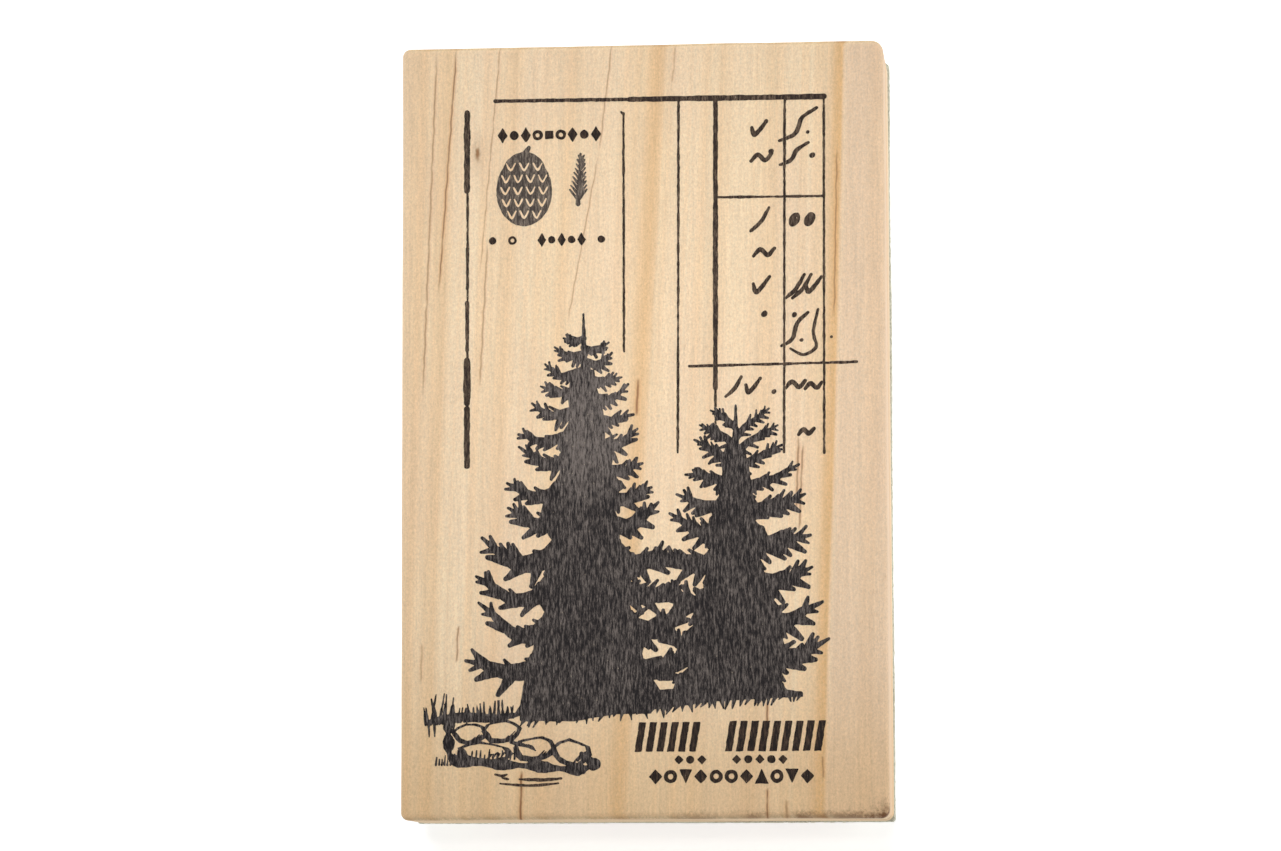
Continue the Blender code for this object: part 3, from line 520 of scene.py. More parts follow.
def roughen(art, size, depth):
    """Pushes the edge of the ink in and out a little, by seeded noise on a lattice of the given size."""
    rng = random.Random(10)
    rows = int((WINDOW[3] - WINDOW[1]) / size) + 3
    columns = int((WINDOW[2] - WINDOW[0]) / size) + 3
    lattice = np.array([[rng.uniform(-1, 1) for _ in range(columns)] for _ in range(rows)])
    u, v = (art.x - WINDOW[0]) / size, (art.y - WINDOW[1]) / size
    i, j = u.astype(int), v.astype(int)
    fu, fv = (u - i)[None, :], (v - j)[:, None]
    fu, fv = fu * fu * (3 - 2 * fu), fv * fv * (3 - 2 * fv)
    low = lattice[np.ix_(j, i)] * (1 - fu) + lattice[np.ix_(j, i + 1)] * fu
    high = lattice[np.ix_(j + 1, i)] * (1 - fu) + lattice[np.ix_(j + 1, i + 1)] * fu
    art.field += depth * (low * (1 - fv) + high * fv)


# Outlines: the artwork's edges as closed loops of points


def crossing(art, level, a, b):
    """Where the edge between two grid points meets a level of the field."""
    low, high = art.field[a] - level, art.field[b] - level
    t = min(max(low / (low - high), 0.08), 0.92)
    ends = ((art.x[a[1]], art.x[b[1]]), (art.y[a[0]], art.y[b[0]]))
    return tuple(float(first + t * (last - first)) for first, last in ends)


def outlines(art, level=0.0):
    """Closed loops along a level of the field (marching squares), with the ink on their left."""
    inside = art.field > level
    busy = inside[:-1, :-1].astype(int) + inside[:-1, 1:] + inside[1:, :-1] + inside[1:, 1:]
    after = {}
    for j, i in zip(*np.nonzero((busy > 0) & (busy < 4))):
        corners = ((j, i), (j, i + 1), (j + 1, i + 1), (j + 1, i))
        full = [bool(inside[c]) for c in corners]
        leaving = [k for k in range(4) if full[k] and not full[(k + 1) % 4]]
        entering = [k for k in range(4) if not full[k] and full[(k + 1) % 4]]
        for k in leaving:
            mate = min(entering, key=lambda m: (k - m) % 4)
            start = (corners[k], corners[(k + 1) % 4])
            end = (corners[(mate + 1) % 4], corners[mate])
            after[start] = end
    return chained(art, level, after)


def chained(art, level, after):
    loops = []
    while after:
        first = next(iter(after))
        loop, here = [], first
        while here in after:
            loop.append(crossing(art, level, *here))
            here = after.pop(here)
        loops.append(loop)
    return loops


def area(loop):
    """Twice the signed area of a loop, positive anticlockwise."""
    return sum(a[0] * b[1] - b[0] * a[1] for a, b in zip(loop, loop[1:] + loop[:1]))


def thinned(loop, tolerance):
    """The loop with points left out wherever the line stays within the tolerance (Douglas-Peucker)."""
    points = np.array(loop)
    far = int(np.argmax(np.hypot(*(points - points[0]).T)))
    closed = np.vstack([points, points[:1]])
    keep = {0, far}
    spans = [(0, far), (far, len(points))]
    while spans:
        first, last = spans.pop()
        if last - first < 2:
            continue
        run = closed[last] - closed[first]
        between = closed[first + 1 : last] - closed[first]
        along = np.clip(between @ run / max(run @ run, 1e-12), 0, 1)
        off = np.hypot(*(between - along[:, None] * run).T)
        worst = int(np.argmax(off))
        if off[worst] > tolerance:
            keep.add(first + 1 + worst)
            spans += [(first, first + 1 + worst), (first + 1 + worst, last)]
    return [loop[i] for i in sorted(keep)]


def clean_outlines(art, tolerance, level=0.0):
    """The outlines at a level, without specks and without needless points."""
    large = [loop for loop in outlines(art, level) if abs(area(loop)) > 2 * SMALLEST_AREA]
    thin = [thinned(loop, tolerance) for loop in large]
    return [loop for loop in thin if len(loop) > 2]


def filled(loops):
    """Triangles within the loops, whose edges they keep, and how many loops run round each triangle.

    The last list gives the points that each made point comes from: none where two loops cross.
    """
    points, polygons = [], []
    for loop in loops:
        numbers = list(range(len(points), len(points) + len(loop)))
        polygons.append(numbers if area(loop) > 0 else numbers[::-1])
        points += loop
    made, _, faces, sources, _, owners = delaunay_2d_cdt(points, [], polygons, 1, 1e-5)
    return [tuple(p) for p in made], [tuple(face) for face in faces], [len(o) for o in owners], sources


def rim(faces):
    """The edges that only one face has, in that face's direction."""
    edges = {(face[i], face[(i + 1) % len(face)]) for face in faces for i in range(len(face))}
    return [edge for edge in edges if (edge[1], edge[0]) not in edges]


def fans(faces):
    """Faces that share a point, in groups that are joined by their edges."""
    groups = []
    for face in faces:
        touching = [g for g in groups if any(len(set(face) & set(other)) > 1 for other in g)]
        groups = [g for g in groups if g not in touching]
        groups.append([face, *(other for g in touching for other in g)])
    return groups


def parted(points, faces):
    """Where faces meet at one point only, each side gets a point of its own, drawn back from the others."""
    around = {}
    for face in faces:
        for corner in face:
            around.setdefault(corner, []).append(face)
    swaps = {}
    for corner in sorted(around):
        groups = fans(around[corner])
        if len(groups) < 2:
            continue
        x, y = points[corner]
        for group in groups:
            spots = [points[c] for face in group for c in face]
            dx, dy = (sum(p[a] for p in spots) / len(spots) - points[corner][a] for a in (0, 1))
            share = PINCH_GAP / math.hypot(dx, dy)
            points.append((x + dx * share, y + dy * share))
            swaps.update({(face, corner): len(points) - 1 for face in group})
    return points, [tuple(swaps.get((face, c), c) for c in face) for face in faces]


# Meshes


def linked(name, data):
    """A new object in the scene, showing the given mesh, light or camera."""
    made = bpy.data.objects.new(name, data)
    bpy.context.collection.objects.link(made)
    return made


def solid(name, points, faces, look):
    """A named piece of the object, from points in millimetres and faces of point numbers."""
    mesh = bpy.data.meshes.new(name)
    mesh.from_pydata([(x * MM, y * MM, z * MM) for x, y, z in points], [], faces)
    joined = bmesh.new()
    joined.from_mesh(mesh)
    bmesh.ops.recalc_face_normals(joined, faces=joined.faces)
    joined.to_mesh(mesh)
    joined.free()
    mesh.materials.append(look)
    made = linked(name, mesh)
    return made


def smoothed(piece, degrees):
    piece.data.shade_smooth()
    piece.data.set_sharp_from_angle(angle=math.radians(degrees))


def heights(node):
    """The lowest and highest point of a CAD node, in millimetres."""
    low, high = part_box(node)
    return low.z / MM, high.z / MM


def spans(node):
    """The width and length of a CAD node, in millimetres."""
    low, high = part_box(node)
    return (high.x - low.x) / MM, (high.y - low.y) / MM


def perimeter(width, length, corners, spacing):
    """Points anticlockwise round a rectangle with rounded corners, each with its outward direction."""
    x, y = width / 2, length / 2
    found = []
    for i, (sx, sy) in enumerate(((-1, -1), (1, -1), (1, 1), (-1, 1))):
        radius = corners[i]
        for k in range(CORNER_STEPS + 1):
            angle = math.pi * (1 + i / 2) + math.pi / 2 * k / CORNER_STEPS
            out = (math.cos(angle), math.sin(angle))
            found.append((sx * (x - radius) + radius * out[0], sy * (y - radius) + radius * out[1], *out))
        after = corners[(i + 1) % 4]
        along = (-out[1], out[0])
        run = (length if i % 2 else width) - radius - after
        steps = int(run / spacing)
        start = found[-1]
        for k in range(1, steps):
            found.append((*(start[a] + along[a] * run * k / steps for a in (0, 1)), *out))
    return found


def wander(rng, count, waves):
    """A smooth closed run of numbers, about -1 to 1, from a sum of waves round the outline."""
    total = np.zeros(count)
    turn = np.linspace(0, 2 * math.pi, count, endpoint=False)
    for k in range(2, waves):
        total += math.sqrt(1 / k) * np.sin(k * turn + rng.uniform(0, 2 * math.pi))
    return total / np.abs(total).max()


def stacked(name, rings, look):
    """A closed piece from rings of equal length, one above the other."""
    count = len(rings[0])
    points = [point for ring in rings for point in ring]
    faces = [tuple(range(count))[::-1]]
    for level in range(len(rings) - 1):
        base = level * count
        for i in range(count):
            after = (i + 1) % count
            faces.append((base + i, base + after, base + count + after, base + count + i))
    faces.append(tuple(range(len(points) - count, len(points))))
    return solid(name, points, faces, look)


# Materials. Each tree reads the object's own coordinates, in millimetres.


def tone(red, green, blue):
    """A colour given on the usual 0 to 255 scale, as the shader wants it."""
    shares = (c / 255 for c in (red, green, blue))
    return tuple(c / 12.92 if c <= 0.04045 else ((c + 0.055) / 1.055) ** 2.4 for c in shares) + (1.0,)


class Look:
    """A Principled material whose node tree is built by short calls."""

    def __init__(self, name, roughness, specular):
        self.material = bpy.data.materials.new(name)
        self.material.use_nodes = True
        self.nodes = self.material.node_tree.nodes
        self.links = self.material.node_tree.links
        self.shader = self.nodes["Principled BSDF"]
        self.shader.inputs["Roughness"].default_value = roughness
        self.shader.inputs["Specular IOR Level"].default_value = specular
        where = self.nodes.new("ShaderNodeTexCoord")
        self.place = self.scaled(where.outputs["Object"], 1 / MM, 1 / MM, 1 / MM)
        self.facing = where.outputs["Normal"]

    def feed(self, socket, value):
        if isinstance(value, bpy.types.NodeSocket):
            self.links.new(value, socket)
        else:
            socket.default_value = value

    def node(self, kind, settings, values):
        made = self.nodes.new(kind)
        for name, setting in settings.items():
            setattr(made, name, setting)
        for name, value in values.items():
            self.feed(made.inputs[name], value)
        return made

    def math(self, operation, *values, clamp=False):
        settings = {"operation": operation, "use_clamp": clamp}
        return self.node("ShaderNodeMath", settings, dict(enumerate(values))).outputs[0]

    def scaled(self, place, x, y, z):
        values = {0: place, 1: (x, y, z)}
        return self.node("ShaderNodeVectorMath", {"operation": "MULTIPLY"}, values).outputs[0]

    def plus(self, a, b):
        return self.math("ADD", a, b)

    def minus(self, a, b):
        return self.math("SUBTRACT", a, b)

    def times(self, a, b, plus=None):
        """a times b, with a third value added where there is one."""
        if plus is None:
            return self.math("MULTIPLY", a, b)
        return self.math("MULTIPLY_ADD", a, b, plus)

    def swing(self, noise, amount):
        """Noise from 0 to 1 turned into a value that runs the amount's half either way of nothing."""
        return self.times(noise, amount, -amount / 2)

    def size(self, value):
        return self.math("ABSOLUTE", value)

    def length(self, u, v):
        return self.math("SQRT", self.plus(self.times(u, u), self.times(v, v)))

    def parts(self, vector):
        return self.node("ShaderNodeSeparateXYZ", {}, {0: vector}).outputs

    def grey(self, value):
        return self.node("ShaderNodeCombineXYZ", {}, dict.fromkeys(range(3), value)).outputs[0]

    def noise(self, waves, detail=2.0, rough=0.5, place=None):
        """Noise with so many waves to a millimetre, the same all ways or one number each for x, y and z."""
        place = self.place if place is None else place
        if isinstance(waves, tuple):
            place, waves = self.scaled(place, *waves), 1.0
        values = {"Vector": place, "Scale": waves, "Detail": detail, "Roughness": rough}
        return self.node("ShaderNodeTexNoise", {}, values).outputs[0]

    def cells(self, scale):
        values = {"Vector": self.place, "Scale": scale}
        return self.node("ShaderNodeTexVoronoi", {}, values).outputs["Distance"]

    def between(self, value, low, high, least=0.0, most=1.0):
        """A smooth step from least to most as the value goes from low to high."""
        values = {"Value": value, "From Min": low, "From Max": high, "To Min": least, "To Max": most}
        return self.node("ShaderNodeMapRange", {"interpolation_type": "SMOOTHSTEP"}, values).outputs[0]

    def mixed(self, share, first, second, blend="MIX"):
        settings = {"data_type": "RGBA", "blend_type": blend}
        return self.node("ShaderNodeMix", settings, {0: share, 6: first, 7: second}).outputs[2]

    def finish(self, colour, roughness=None, height=None, depth=0.02, strength=1.0):
        """Joins colour, roughness and a bump of the given depth in millimetres to the shader."""
        self.feed(self.shader.inputs["Base Color"], colour)
        if roughness is not None:
            self.feed(self.shader.inputs["Roughness"], roughness)
        if height is not None:
            values = {"Height": height, "Distance": depth * MM, "Strength": strength}
            bump = self.node("ShaderNodeBump", {}, values)
            self.feed(self.shader.inputs["Normal"], bump.outputs[0])
        return self.material


# Pine: growth rings round a distant pith, so lines on the top and the sides and arcs on the sawn ends

TOP_LEVEL = heights("wood_block")[1]
PITH = (-75.0, -60.0)
# The grain's sideways drift per millimetre of board: in its middle, and its change away from there
LEAN = (0.062, -0.0012)
# Each dark band: its place across the middle of the top, its soft and its sharp side, and how dark it is
BANDS = (
    (-33.4, 2.2, 0.9, 0.30), (-29.9, 1.6, 0.7, 0.42), (-20.6, 3.0, 0.8, 0.22), (-11.6, 3.4, 1.0, 0.20),
    (-0.6, 2.6, 1.5, 0.66), (9.6, 3.0, 1.0, 0.20), (17.6, 2.4, 0.8, 0.24), (27.2, 2.4, 0.6, 0.85),
    (33.0, 2.5, 1.2, 0.12),
)
# Each resin streak: its upper and lower end, half its width, and how dark it is
STREAKS = (
    (-29.8, 57.0, -31.9, 3.0, 0.10, 0.50), (-26.9, 57.0, -29.6, 19.0, 0.09, 0.72),
    (-20.4, 58.0, -23.6, 22.0, 0.07, 0.42), (-4.2, 57.0, -6.2, 40.0, 0.08, 0.42),
    (-6.2, 40.4, -10.9, 15.0, 0.07, 0.42), (-22.4, 28.0, -23.6, 5.6, 0.10, 0.45),
    (-0.6, 7.4, -0.9, 1.6, 0.14, 0.75), (28.2, 41.0, 27.6, 15.0, 0.09, 0.55),
    (22.4, -1.2, 22.0, -12.4, 0.11, 0.65), (23.0, -2.0, 22.4, -15.4, 0.11, 0.60),
    (-17.5, -48.8, -17.7, -57.0, 0.13, 0.85), (17.7, -39.3, 17.6, -44.2, 0.10, 0.80),
    (17.6, -51.4, 17.6, -58.0, 0.10, 0.75), (20.3, -53.2, 20.4, -57.0, 0.14, 0.45),
    (25.5, -47.0, 25.6, -50.4, 0.10, 0.45), (-26.6, -28.0, -26.9, -33.6, 0.10, 0.60),
    (-31.9, -30.5, -32.0, -36.5, 0.10, 0.35), (5.0, 55.8, 4.4, 50.0, 0.10, 0.30),
    (11.0, 19.0, 10.6, 8.5, 0.08, 0.30),
)
# The step to the duller wood on the right, and the span over which painted shade darkens the lower end
RIGHT_STEP = (27.1, 28.3)
LOW_SHADE_SPAN = (-57.0, -28.0)
# Two ovals on the top face, each by its centre and its radii
POCKET_OVAL = ((-23.9, 40.3), (0.42, 1.3))
WORN_OVAL = ((-7.6, 1.5), (6.5, 12.5))

PALE_WOOD = tone(249, 227, 193)
WARM_WOOD = tone(247, 217, 177)
# Painted shade: the colour that darkens the wood towards the lower end, standing in for the light falling
# off there
LOW_END_SHADE = tone(226, 186, 132)
PINK_WOOD = tone(240, 210, 180)
RIGHT_WOOD = tone(234, 204, 174)
LATE_WOOD = tone(226, 180, 122)
SPECK_WOOD = tone(238, 201, 158)
PORE = tone(190, 150, 108)
END_PALE = tone(232, 205, 164)
END_DARK = tone(218, 184, 138)
END_LATE = tone(196, 150, 98)
RESIN = tone(132, 82, 46)
RESIN_STAIN = tone(216, 156, 98)
POCKET = tone(150, 104, 62)
DIRT = tone(116, 74, 40)


def ring_distance(look):
    """How far a point is from the pith, with the slow drift of the grain along the board."""
    x, y, z = look.parts(look.place)
    lean = look.times(look.size(x), LEAN[1], LEAN[0])
    drift = look.swing(look.noise((0.03, 0.012, 0.03), detail=1.0), 1.6)
    across = look.plus(look.minus(x, look.times(lean, y)), drift)
    return look.length(look.minus(across, PITH[0]), look.minus(z, PITH[1]))


def ring_at(x):
    """The ring distance of a place across the top face."""
    return math.hypot(x - PITH[0], TOP_LEVEL - PITH[1])


def latewood(look, rings):
    """The darker bands at the end of each year's growth: soft on one side and sharp on the other."""
    total = 0.0
    for x, rise, fall, strength in BANDS:
        middle = ring_at(x)
        rising = look.between(rings, middle - rise, middle, most=strength)
        falling = look.between(rings, middle, middle + fall, 1.0, 0.0)
        total = look.times(rising, falling, total)
    return total


def streaks(look):
    """Thin dark resin lines in the top face, and the warm stain round each."""
    x, y, z = look.parts(look.place)
    x = look.plus(x, look.swing(look.noise((0.0, 0.45, 0.0), detail=1.0), 0.36))
    broken = look.between(look.noise((0.2, 0.35, 0.2)), 0.28, 0.50, 0.62, 1.0)
    total = 0.0
    stain = 0.0
    for top_x, top_y, low_x, low_y, half, strength in STREAKS:
        slope = (top_x - low_x) / (top_y - low_y)
        off = look.size(look.minus(x, look.times(y, slope, low_x - slope * low_y)))
        middle, reach = (top_y + low_y) / 2, (top_y - low_y) / 2
        along = look.between(look.size(look.minus(y, middle)), reach * 0.75, reach, 1.0, 0.0)
        total = look.times(look.between(off, half * 0.3, half * 2.0, strength, 0.0), along, total)
        stain = look.times(look.between(off, half, half * 5.0, strength * 0.45, 0.0), along, stain)
    deep = look.times(look.between(z, TOP_LEVEL - 4.0, TOP_LEVEL - 1.0), broken)
    return [look.math("MULTIPLY", share, deep, clamp=True) for share in (total, stain)]


def oval_distance(look, oval):
    """How far a place on the top face is from an oval's centre, counted as 1 on its rim."""
    centre, radii = oval
    places = look.parts(look.place)
    return look.length(*(look.times(look.plus(places[a], -centre[a]), 1 / radii[a]) for a in (0, 1)))


def pocket(look):
    """A small resin pocket near the upper left of the print."""
    ragged = look.plus(oval_distance(look, POCKET_OVAL), look.noise((3.0, 1.0, 3.0)))
    halo = look.between(ragged, 1.0, 4.0, 0.22, 0.0)
    return look.math("ADD", halo, look.between(ragged, 0.7, 1.6, 0.70, 0.0), clamp=True)


def smudge(look):
    """Brown dirt on the near edge, in patches and heaviest at its right corner."""
    x, y, z = look.parts(look.place)
    right, near = (span / 2 for span in spans("wood_block"))
    ragged = look.noise((1.8, 1.5, 0.0), detail=4.0, rough=0.8)
    line = look.between(look.plus(look.plus(y, near), look.swing(ragged, 3.6)), 0.1, 1.5, 1.0, 0.0)
    patches = look.between(look.noise((0.22, 0.22, 0.0)), 0.38, 0.62, 0.35, 1.0)
    spread = look.times(look.between(x, -12.0, 26.0, 0.15, 0.72), patches)
    corner = look.plus(look.length(look.minus(x, right), look.plus(y, near + 0.2)), look.swing(ragged, 7.0))
    heavy = look.between(corner, 0.4, 4.0, 0.62, 0.0)
    down = look.times(look.noise((0.8, 0.8, 1.4), detail=4.0, rough=0.7), 3.0, z)
    dirt = look.math("MULTIPLY_ADD", line, spread, heavy, clamp=True)
    return look.times(dirt, look.between(down, TOP_LEVEL - 1.6, TOP_LEVEL - 0.2))


def side_grain(look, rings, years, late, fibre, pores):
    """Wood cut along the grain: the tone of each year's growth, then fibre, speckle and pores."""
    mottle = look.noise((0.10, 0.035, 0.10), detail=3.0)
    colour = look.mixed(look.between(years, 0.32, 0.68), PALE_WOOD, WARM_WOOD)
    colour = look.mixed(look.between(mottle, 0.35, 0.70, 0.0, 0.45), colour, PINK_WOOD)
    colour = look.mixed(look.between(rings, *map(ring_at, RIGHT_STEP), 0.0, 0.7), colour, RIGHT_WOOD)
    # Painted shade: the wood grows darker towards the lower end, where the light falls off
    colour = look.mixed(look.between(look.parts(look.place)[1], *LOW_SHADE_SPAN, 0.55, 0.0), colour, LOW_END_SHADE)
    colour = look.mixed(late, colour, LATE_WOOD)
    grain = look.plus(look.times(fibre, 0.34, 0.83), look.swing(look.noise((1.2, 0.03, 1.2)), 0.18))
    speckle = look.times(look.noise((3.6, 2.6, 3.6), detail=3.0, rough=0.9), 0.80, 0.60)
    for shade in (grain, speckle):
        colour = look.mixed(1.0, colour, look.grey(shade), "MULTIPLY")
    tint = look.noise((3.1, 1.9, 3.1))
    colour = look.mixed(look.between(tint, 0.35, 0.75, 0.0, 0.35), colour, SPECK_WOOD)
    return look.mixed(look.times(pores, 0.22), colour, PORE)


def end_grain(look, years, late):
    """Wood sawn across the grain: arcs of the rings, dotted by the ends of the fibres."""
    colour = look.mixed(look.between(years, 0.35, 0.70), END_PALE, END_DARK)
    dots = look.between(look.noise((4.5, 0.4, 4.5)), 0.35, 0.70, 0.84, 1.08)
    return look.mixed(1.0, look.mixed(late, colour, END_LATE), look.grey(dots), "MULTIPLY")


def pine():
    """Sanded pine, with resin streaks, a resin pocket and some dirt on one edge."""
    look = Look("pine_grain", 0.62, 0.30)
    rings = ring_distance(look)
    years = look.noise(0.55, detail=3.0, rough=0.6, place=look.grey(rings))
    late = latewood(look, rings)
    fibre = look.noise((3.4, 0.16, 3.4), detail=3.0, rough=0.7)
    pores = look.between(look.noise((8.0, 0.9, 8.0), detail=1.0), 0.62, 0.74)
    sawn = look.between(look.size(look.parts(look.facing)[1]), 0.35, 0.85)
    sides = side_grain(look, rings, years, late, fibre, pores)
    colour = look.mixed(sawn, sides, end_grain(look, years, late))
    line, stain = streaks(look)
    layers = ((stain, RESIN_STAIN), (line, RESIN), (pocket(look), POCKET), (smudge(look), DIRT))
    for share, layer in layers:
        colour = look.mixed(share, colour, layer)
    height = look.minus(look.times(late, 0.5, fibre), look.times(pores, 0.8))
    return look.finish(colour, look.times(fibre, 0.18, 0.52), height, depth=0.035, strength=0.6)


# The other materials

FOAM_LIGHT = tone(222, 222, 206)
# Painted shade for the hollows of the foam's cells
FOAM_SHADE = tone(178, 180, 160)
FOAM_AGED = tone(204, 200, 176)
RUBBER_DEEP = tone(150, 58, 50)
RUBBER_LIGHT = tone(172, 72, 62)
RUBBER_BLOOM = tone(196, 120, 108)
INK_STAIN = tone(58, 44, 42)
FILM_AMBER = tone(120, 104, 78)
FILM_CLEAR = tone(96, 84, 64)
DUST = tone(160, 150, 134)
# Each kind of print: how much of the wood its bare specks leave covered, and its darkest and thinnest ink
INKS = {
    "trees": (0.03, tone(24, 19, 21), tone(128, 118, 112)),
    "rules": (0.01, tone(46, 34, 28), tone(126, 106, 88)),
    "emblem": (0.00, tone(68, 60, 56), tone(156, 140, 124)),
    "caption": (0.04, tone(32, 22, 18), tone(92, 72, 58)),
}


def printed_ink(name, cover, dark, light):
    """Printing ink soaked into the wood: it lies thinner along the grain, and bare specks show through."""
    look = Look(name, 0.72, 0.22)
    fibre = look.noise((3.9, 0.70, 3.9), detail=4.0, rough=0.8)
    thin = look.plus(look.swing(fibre, 4.4), look.swing(look.noise((1.6, 0.07, 1.6)), 0.5))
    thin = look.plus(thin, look.swing(look.noise((0.16, 0.12, 0.16)), 0.4))
    worn = look.between(oval_distance(look, WORN_OVAL), 0.3, 1.3, 0.42, 0.0)
    thin = look.plus(thin, worn)
    colour = look.mixed(look.between(thin, -0.40, 1.05), dark, light)
    specks = look.times(thin, 0.10, look.noise((4.6, 2.6, 4.6), detail=1.0))
    colour = look.mixed(look.between(specks, 0.72 + cover, 0.84 + cover, 0.0, 0.55), colour, PALE_WOOD)
    return look.finish(colour, look.times(fibre, 0.2, 0.6), fibre, depth=0.03, strength=0.5)


def foam():
    """Fine-celled foam: open cut cells with thin walls and painted shade in their hollows, and an uneven
    aged tone over it.
    """
    look = Look("foam_cells", 0.92, 0.20)
    depth = look.times(look.cells(5.5), 0.5, look.cells(2.6))
    # Painted shade: the foam darkens towards the bottom of each cell
    colour = look.mixed(look.between(depth, 0.35, 1.05), FOAM_SHADE, FOAM_LIGHT)
    colour = look.mixed(look.between(look.noise(0.12), 0.35, 0.7, 0.0, 0.30), colour, FOAM_AGED)
    return look.finish(colour, None, depth, depth=0.12, strength=0.8)


def red_rubber():
    """Moulded rubber: faint flow marks, a dusty bloom, and ink left on the printing faces."""
    look = Look("rubber_moulded", 0.58, 0.35)
    fine = look.noise(6.0)
    colour = look.mixed(look.between(look.noise(0.10, detail=3.0), 0.3, 0.7), RUBBER_DEEP, RUBBER_LIGHT)
    bloom = look.between(look.noise(0.45, detail=4.0, rough=0.7), 0.50, 0.80, 0.0, 0.25)
    colour = look.mixed(bloom, colour, RUBBER_BLOOM)
    face = look.between(look.parts(look.place)[2], 0.03, 0.25, 1.0, 0.0)
    worn = look.between(look.noise(0.5, detail=4.0, rough=0.6), 0.30, 0.66, 0.68, 0.94)
    colour = look.mixed(look.times(face, worn), colour, INK_STAIN)
    return look.finish(colour, look.times(fine, 0.25, 0.45), fine, depth=0.03, strength=0.5)


def adhesive():
    """Double-sided film: amber, with cloudy patches where it hasn't wetted out, and dust on it."""
    look = Look("film_amber", 0.35, 0.45)
    cloud = look.noise(0.35, detail=4.0, rough=0.6)
    fine = look.noise(9.0, detail=1.0)
    colour = look.mixed(look.between(cloud, 0.35, 0.65), FILM_AMBER, FILM_CLEAR)
    colour = look.mixed(look.between(fine, 0.55, 0.8, 0.0, 0.5), colour, DUST)
    return look.finish(colour, look.times(cloud, 0.3, 0.25), fine, depth=0.01, strength=0.4)


# The pieces


def block_piece(look):
    """The pine block: sawn square, its long edges and corners eased unevenly by hand sanding."""
    low, high = heights("wood_block")
    rng = random.Random(21)
    outline = perimeter(*spans("wood_block"), BLOCK_CORNERS, SIDE_SPACING)
    count = len(outline)
    top_edge = BLOCK_TOP_EDGE * (1 + 0.16 * wander(rng, count, 26))
    low_edge = BLOCK_LOW_EDGE * (1 + 0.35 * wander(rng, count, 40))
    hollow = 0.04 * (1 + wander(rng, count, 30))
    rings = []

    def ring(inset, height):
        rings.append([
            (x - u * (inset[i] + hollow[i]), y - v * (inset[i] + hollow[i]), height[i])
            for i, (x, y, u, v) in enumerate(outline)
        ])

    for k in range(EDGE_STEPS // 2 + 1):
        angle = math.pi / 2 * k / (EDGE_STEPS // 2)
        ring(low_edge * (1 - math.sin(angle)), low + low_edge * (1 - math.cos(angle)))
    for k in range(1, SIDE_LEVELS):
        saw = 0.015 * (1 + wander(rng, count, 60))
        ring(saw, np.full(count, low + (high - low) * k / SIDE_LEVELS))
    for k in range(EDGE_STEPS + 1):
        angle = math.pi / 2 * k / EDGE_STEPS
        ring(top_edge * (1 - math.cos(angle)), high - top_edge * (1 - math.sin(angle)))
    made = stacked("pine_block", rings, look)
    smoothed(made, 40)
    return made


def cushion_piece(look):
    """The foam sheet: flat where it is bonded, its cut sides drawn in a little and open-celled."""
    low, high = heights("foam_cushion")
    rng = random.Random(22)
    outline = perimeter(*spans("foam_cushion"), CUSHION_CORNERS, CUSHION_SPACING)
    count = len(outline)
    trim = 0.07 * (1 + wander(rng, count, 14))
    rings = []
    for k in range(CUSHION_LEVELS + 1):
        t = k / CUSHION_LEVELS
        bow = 0.16 * math.sin(math.pi * t)
        edge = CUSHION_EDGE * max(0.0, abs(2 * t - 1) - 0.72) / 0.28
        row = []
        for i, (x, y, u, v) in enumerate(outline):
            cell = 0.05 * rng.uniform(-1, 1) if 0 < k < CUSHION_LEVELS else 0.0
            inset = trim[i] + bow + edge + cell
            row.append((x - u * inset, y - v * inset, low + (high - low) * t))
        rings.append(row)
    made = stacked("foam_pad", rings, look)
    smoothed(made, 60)
    return made


def ink_piece(name, art, low, high, look):
    """A thin layer of ink in the shape of the artwork."""
    flat, faces, depths, _ = filled(clean_outlines(art, OUTLINE_TOLERANCE))
    flat, faces = parted(flat, [face for face, depth in zip(faces, depths) if depth % 2])
    count = len(flat)
    points = [(x, y, low) for x, y in flat] + [(x, y, high) for x, y in flat]
    lids = [face[::-1] for face in faces] + [tuple(i + count for i in face) for face in faces]
    walls = [(a, b, b + count, a + count) for a, b in sorted(rim(faces))]
    return solid(name, points, lids + walls, look)


def field_at(art, point):
    column = int(round((point[0] - WINDOW[0]) / art.step))
    row = int(round((point[1] - WINDOW[1]) / art.step))
    return float(art.field[row, column])


def relief_height(depth):
    """The height of the relief's surface at a distance outside the ink."""
    outside = [-level for level, _ in RELIEF_PROFILE]
    return float(np.interp(-depth, outside, [height for _, height in RELIEF_PROFILE]))


def rubber_piece(art, look):
    """The rubber sheet, with the artwork standing from it on drafted walls."""
    low, high = heights("rubber_die")
    points_at, loops = [], []
    for level, height in RELIEF_PROFILE:
        for loop in clean_outlines(art, RELIEF_TOLERANCE, level):
            loops.append(loop)
            points_at += [height] * len(loop)
    loops.append(list(DIE_TRIM))
    points_at += [RELIEF_HEIGHT] * len(DIE_TRIM)
    flat, faces, _, sources = filled(loops)
    points = []
    for (x, y), source in zip(flat, sources):
        height = points_at[source[0]] if source else relief_height(field_at(art, (x, y)))
        points.append((x, y, low + height))
    side = dict(rim(faces))
    edge = [min(side)]
    while side[edge[-1]] != edge[0]:
        edge.append(side[edge[-1]])
    count = len(points)
    points += [(points[i][0], points[i][1], high) for i in edge]
    walls = []
    for i, near in enumerate(edge):
        after = (i + 1) % len(edge)
        walls.append((near, edge[after], count + after, count + i))
    back = tuple(range(count, len(points)))
    made = solid("rubber_relief", points, [*faces, *walls, back], look)
    smoothed(made, 30)
    return made


def drawn(step, *draw):
    """A sheet of artwork with the given shapes on it."""
    art = Artwork(step)
    for shapes in draw:
        shapes(art)
    return art


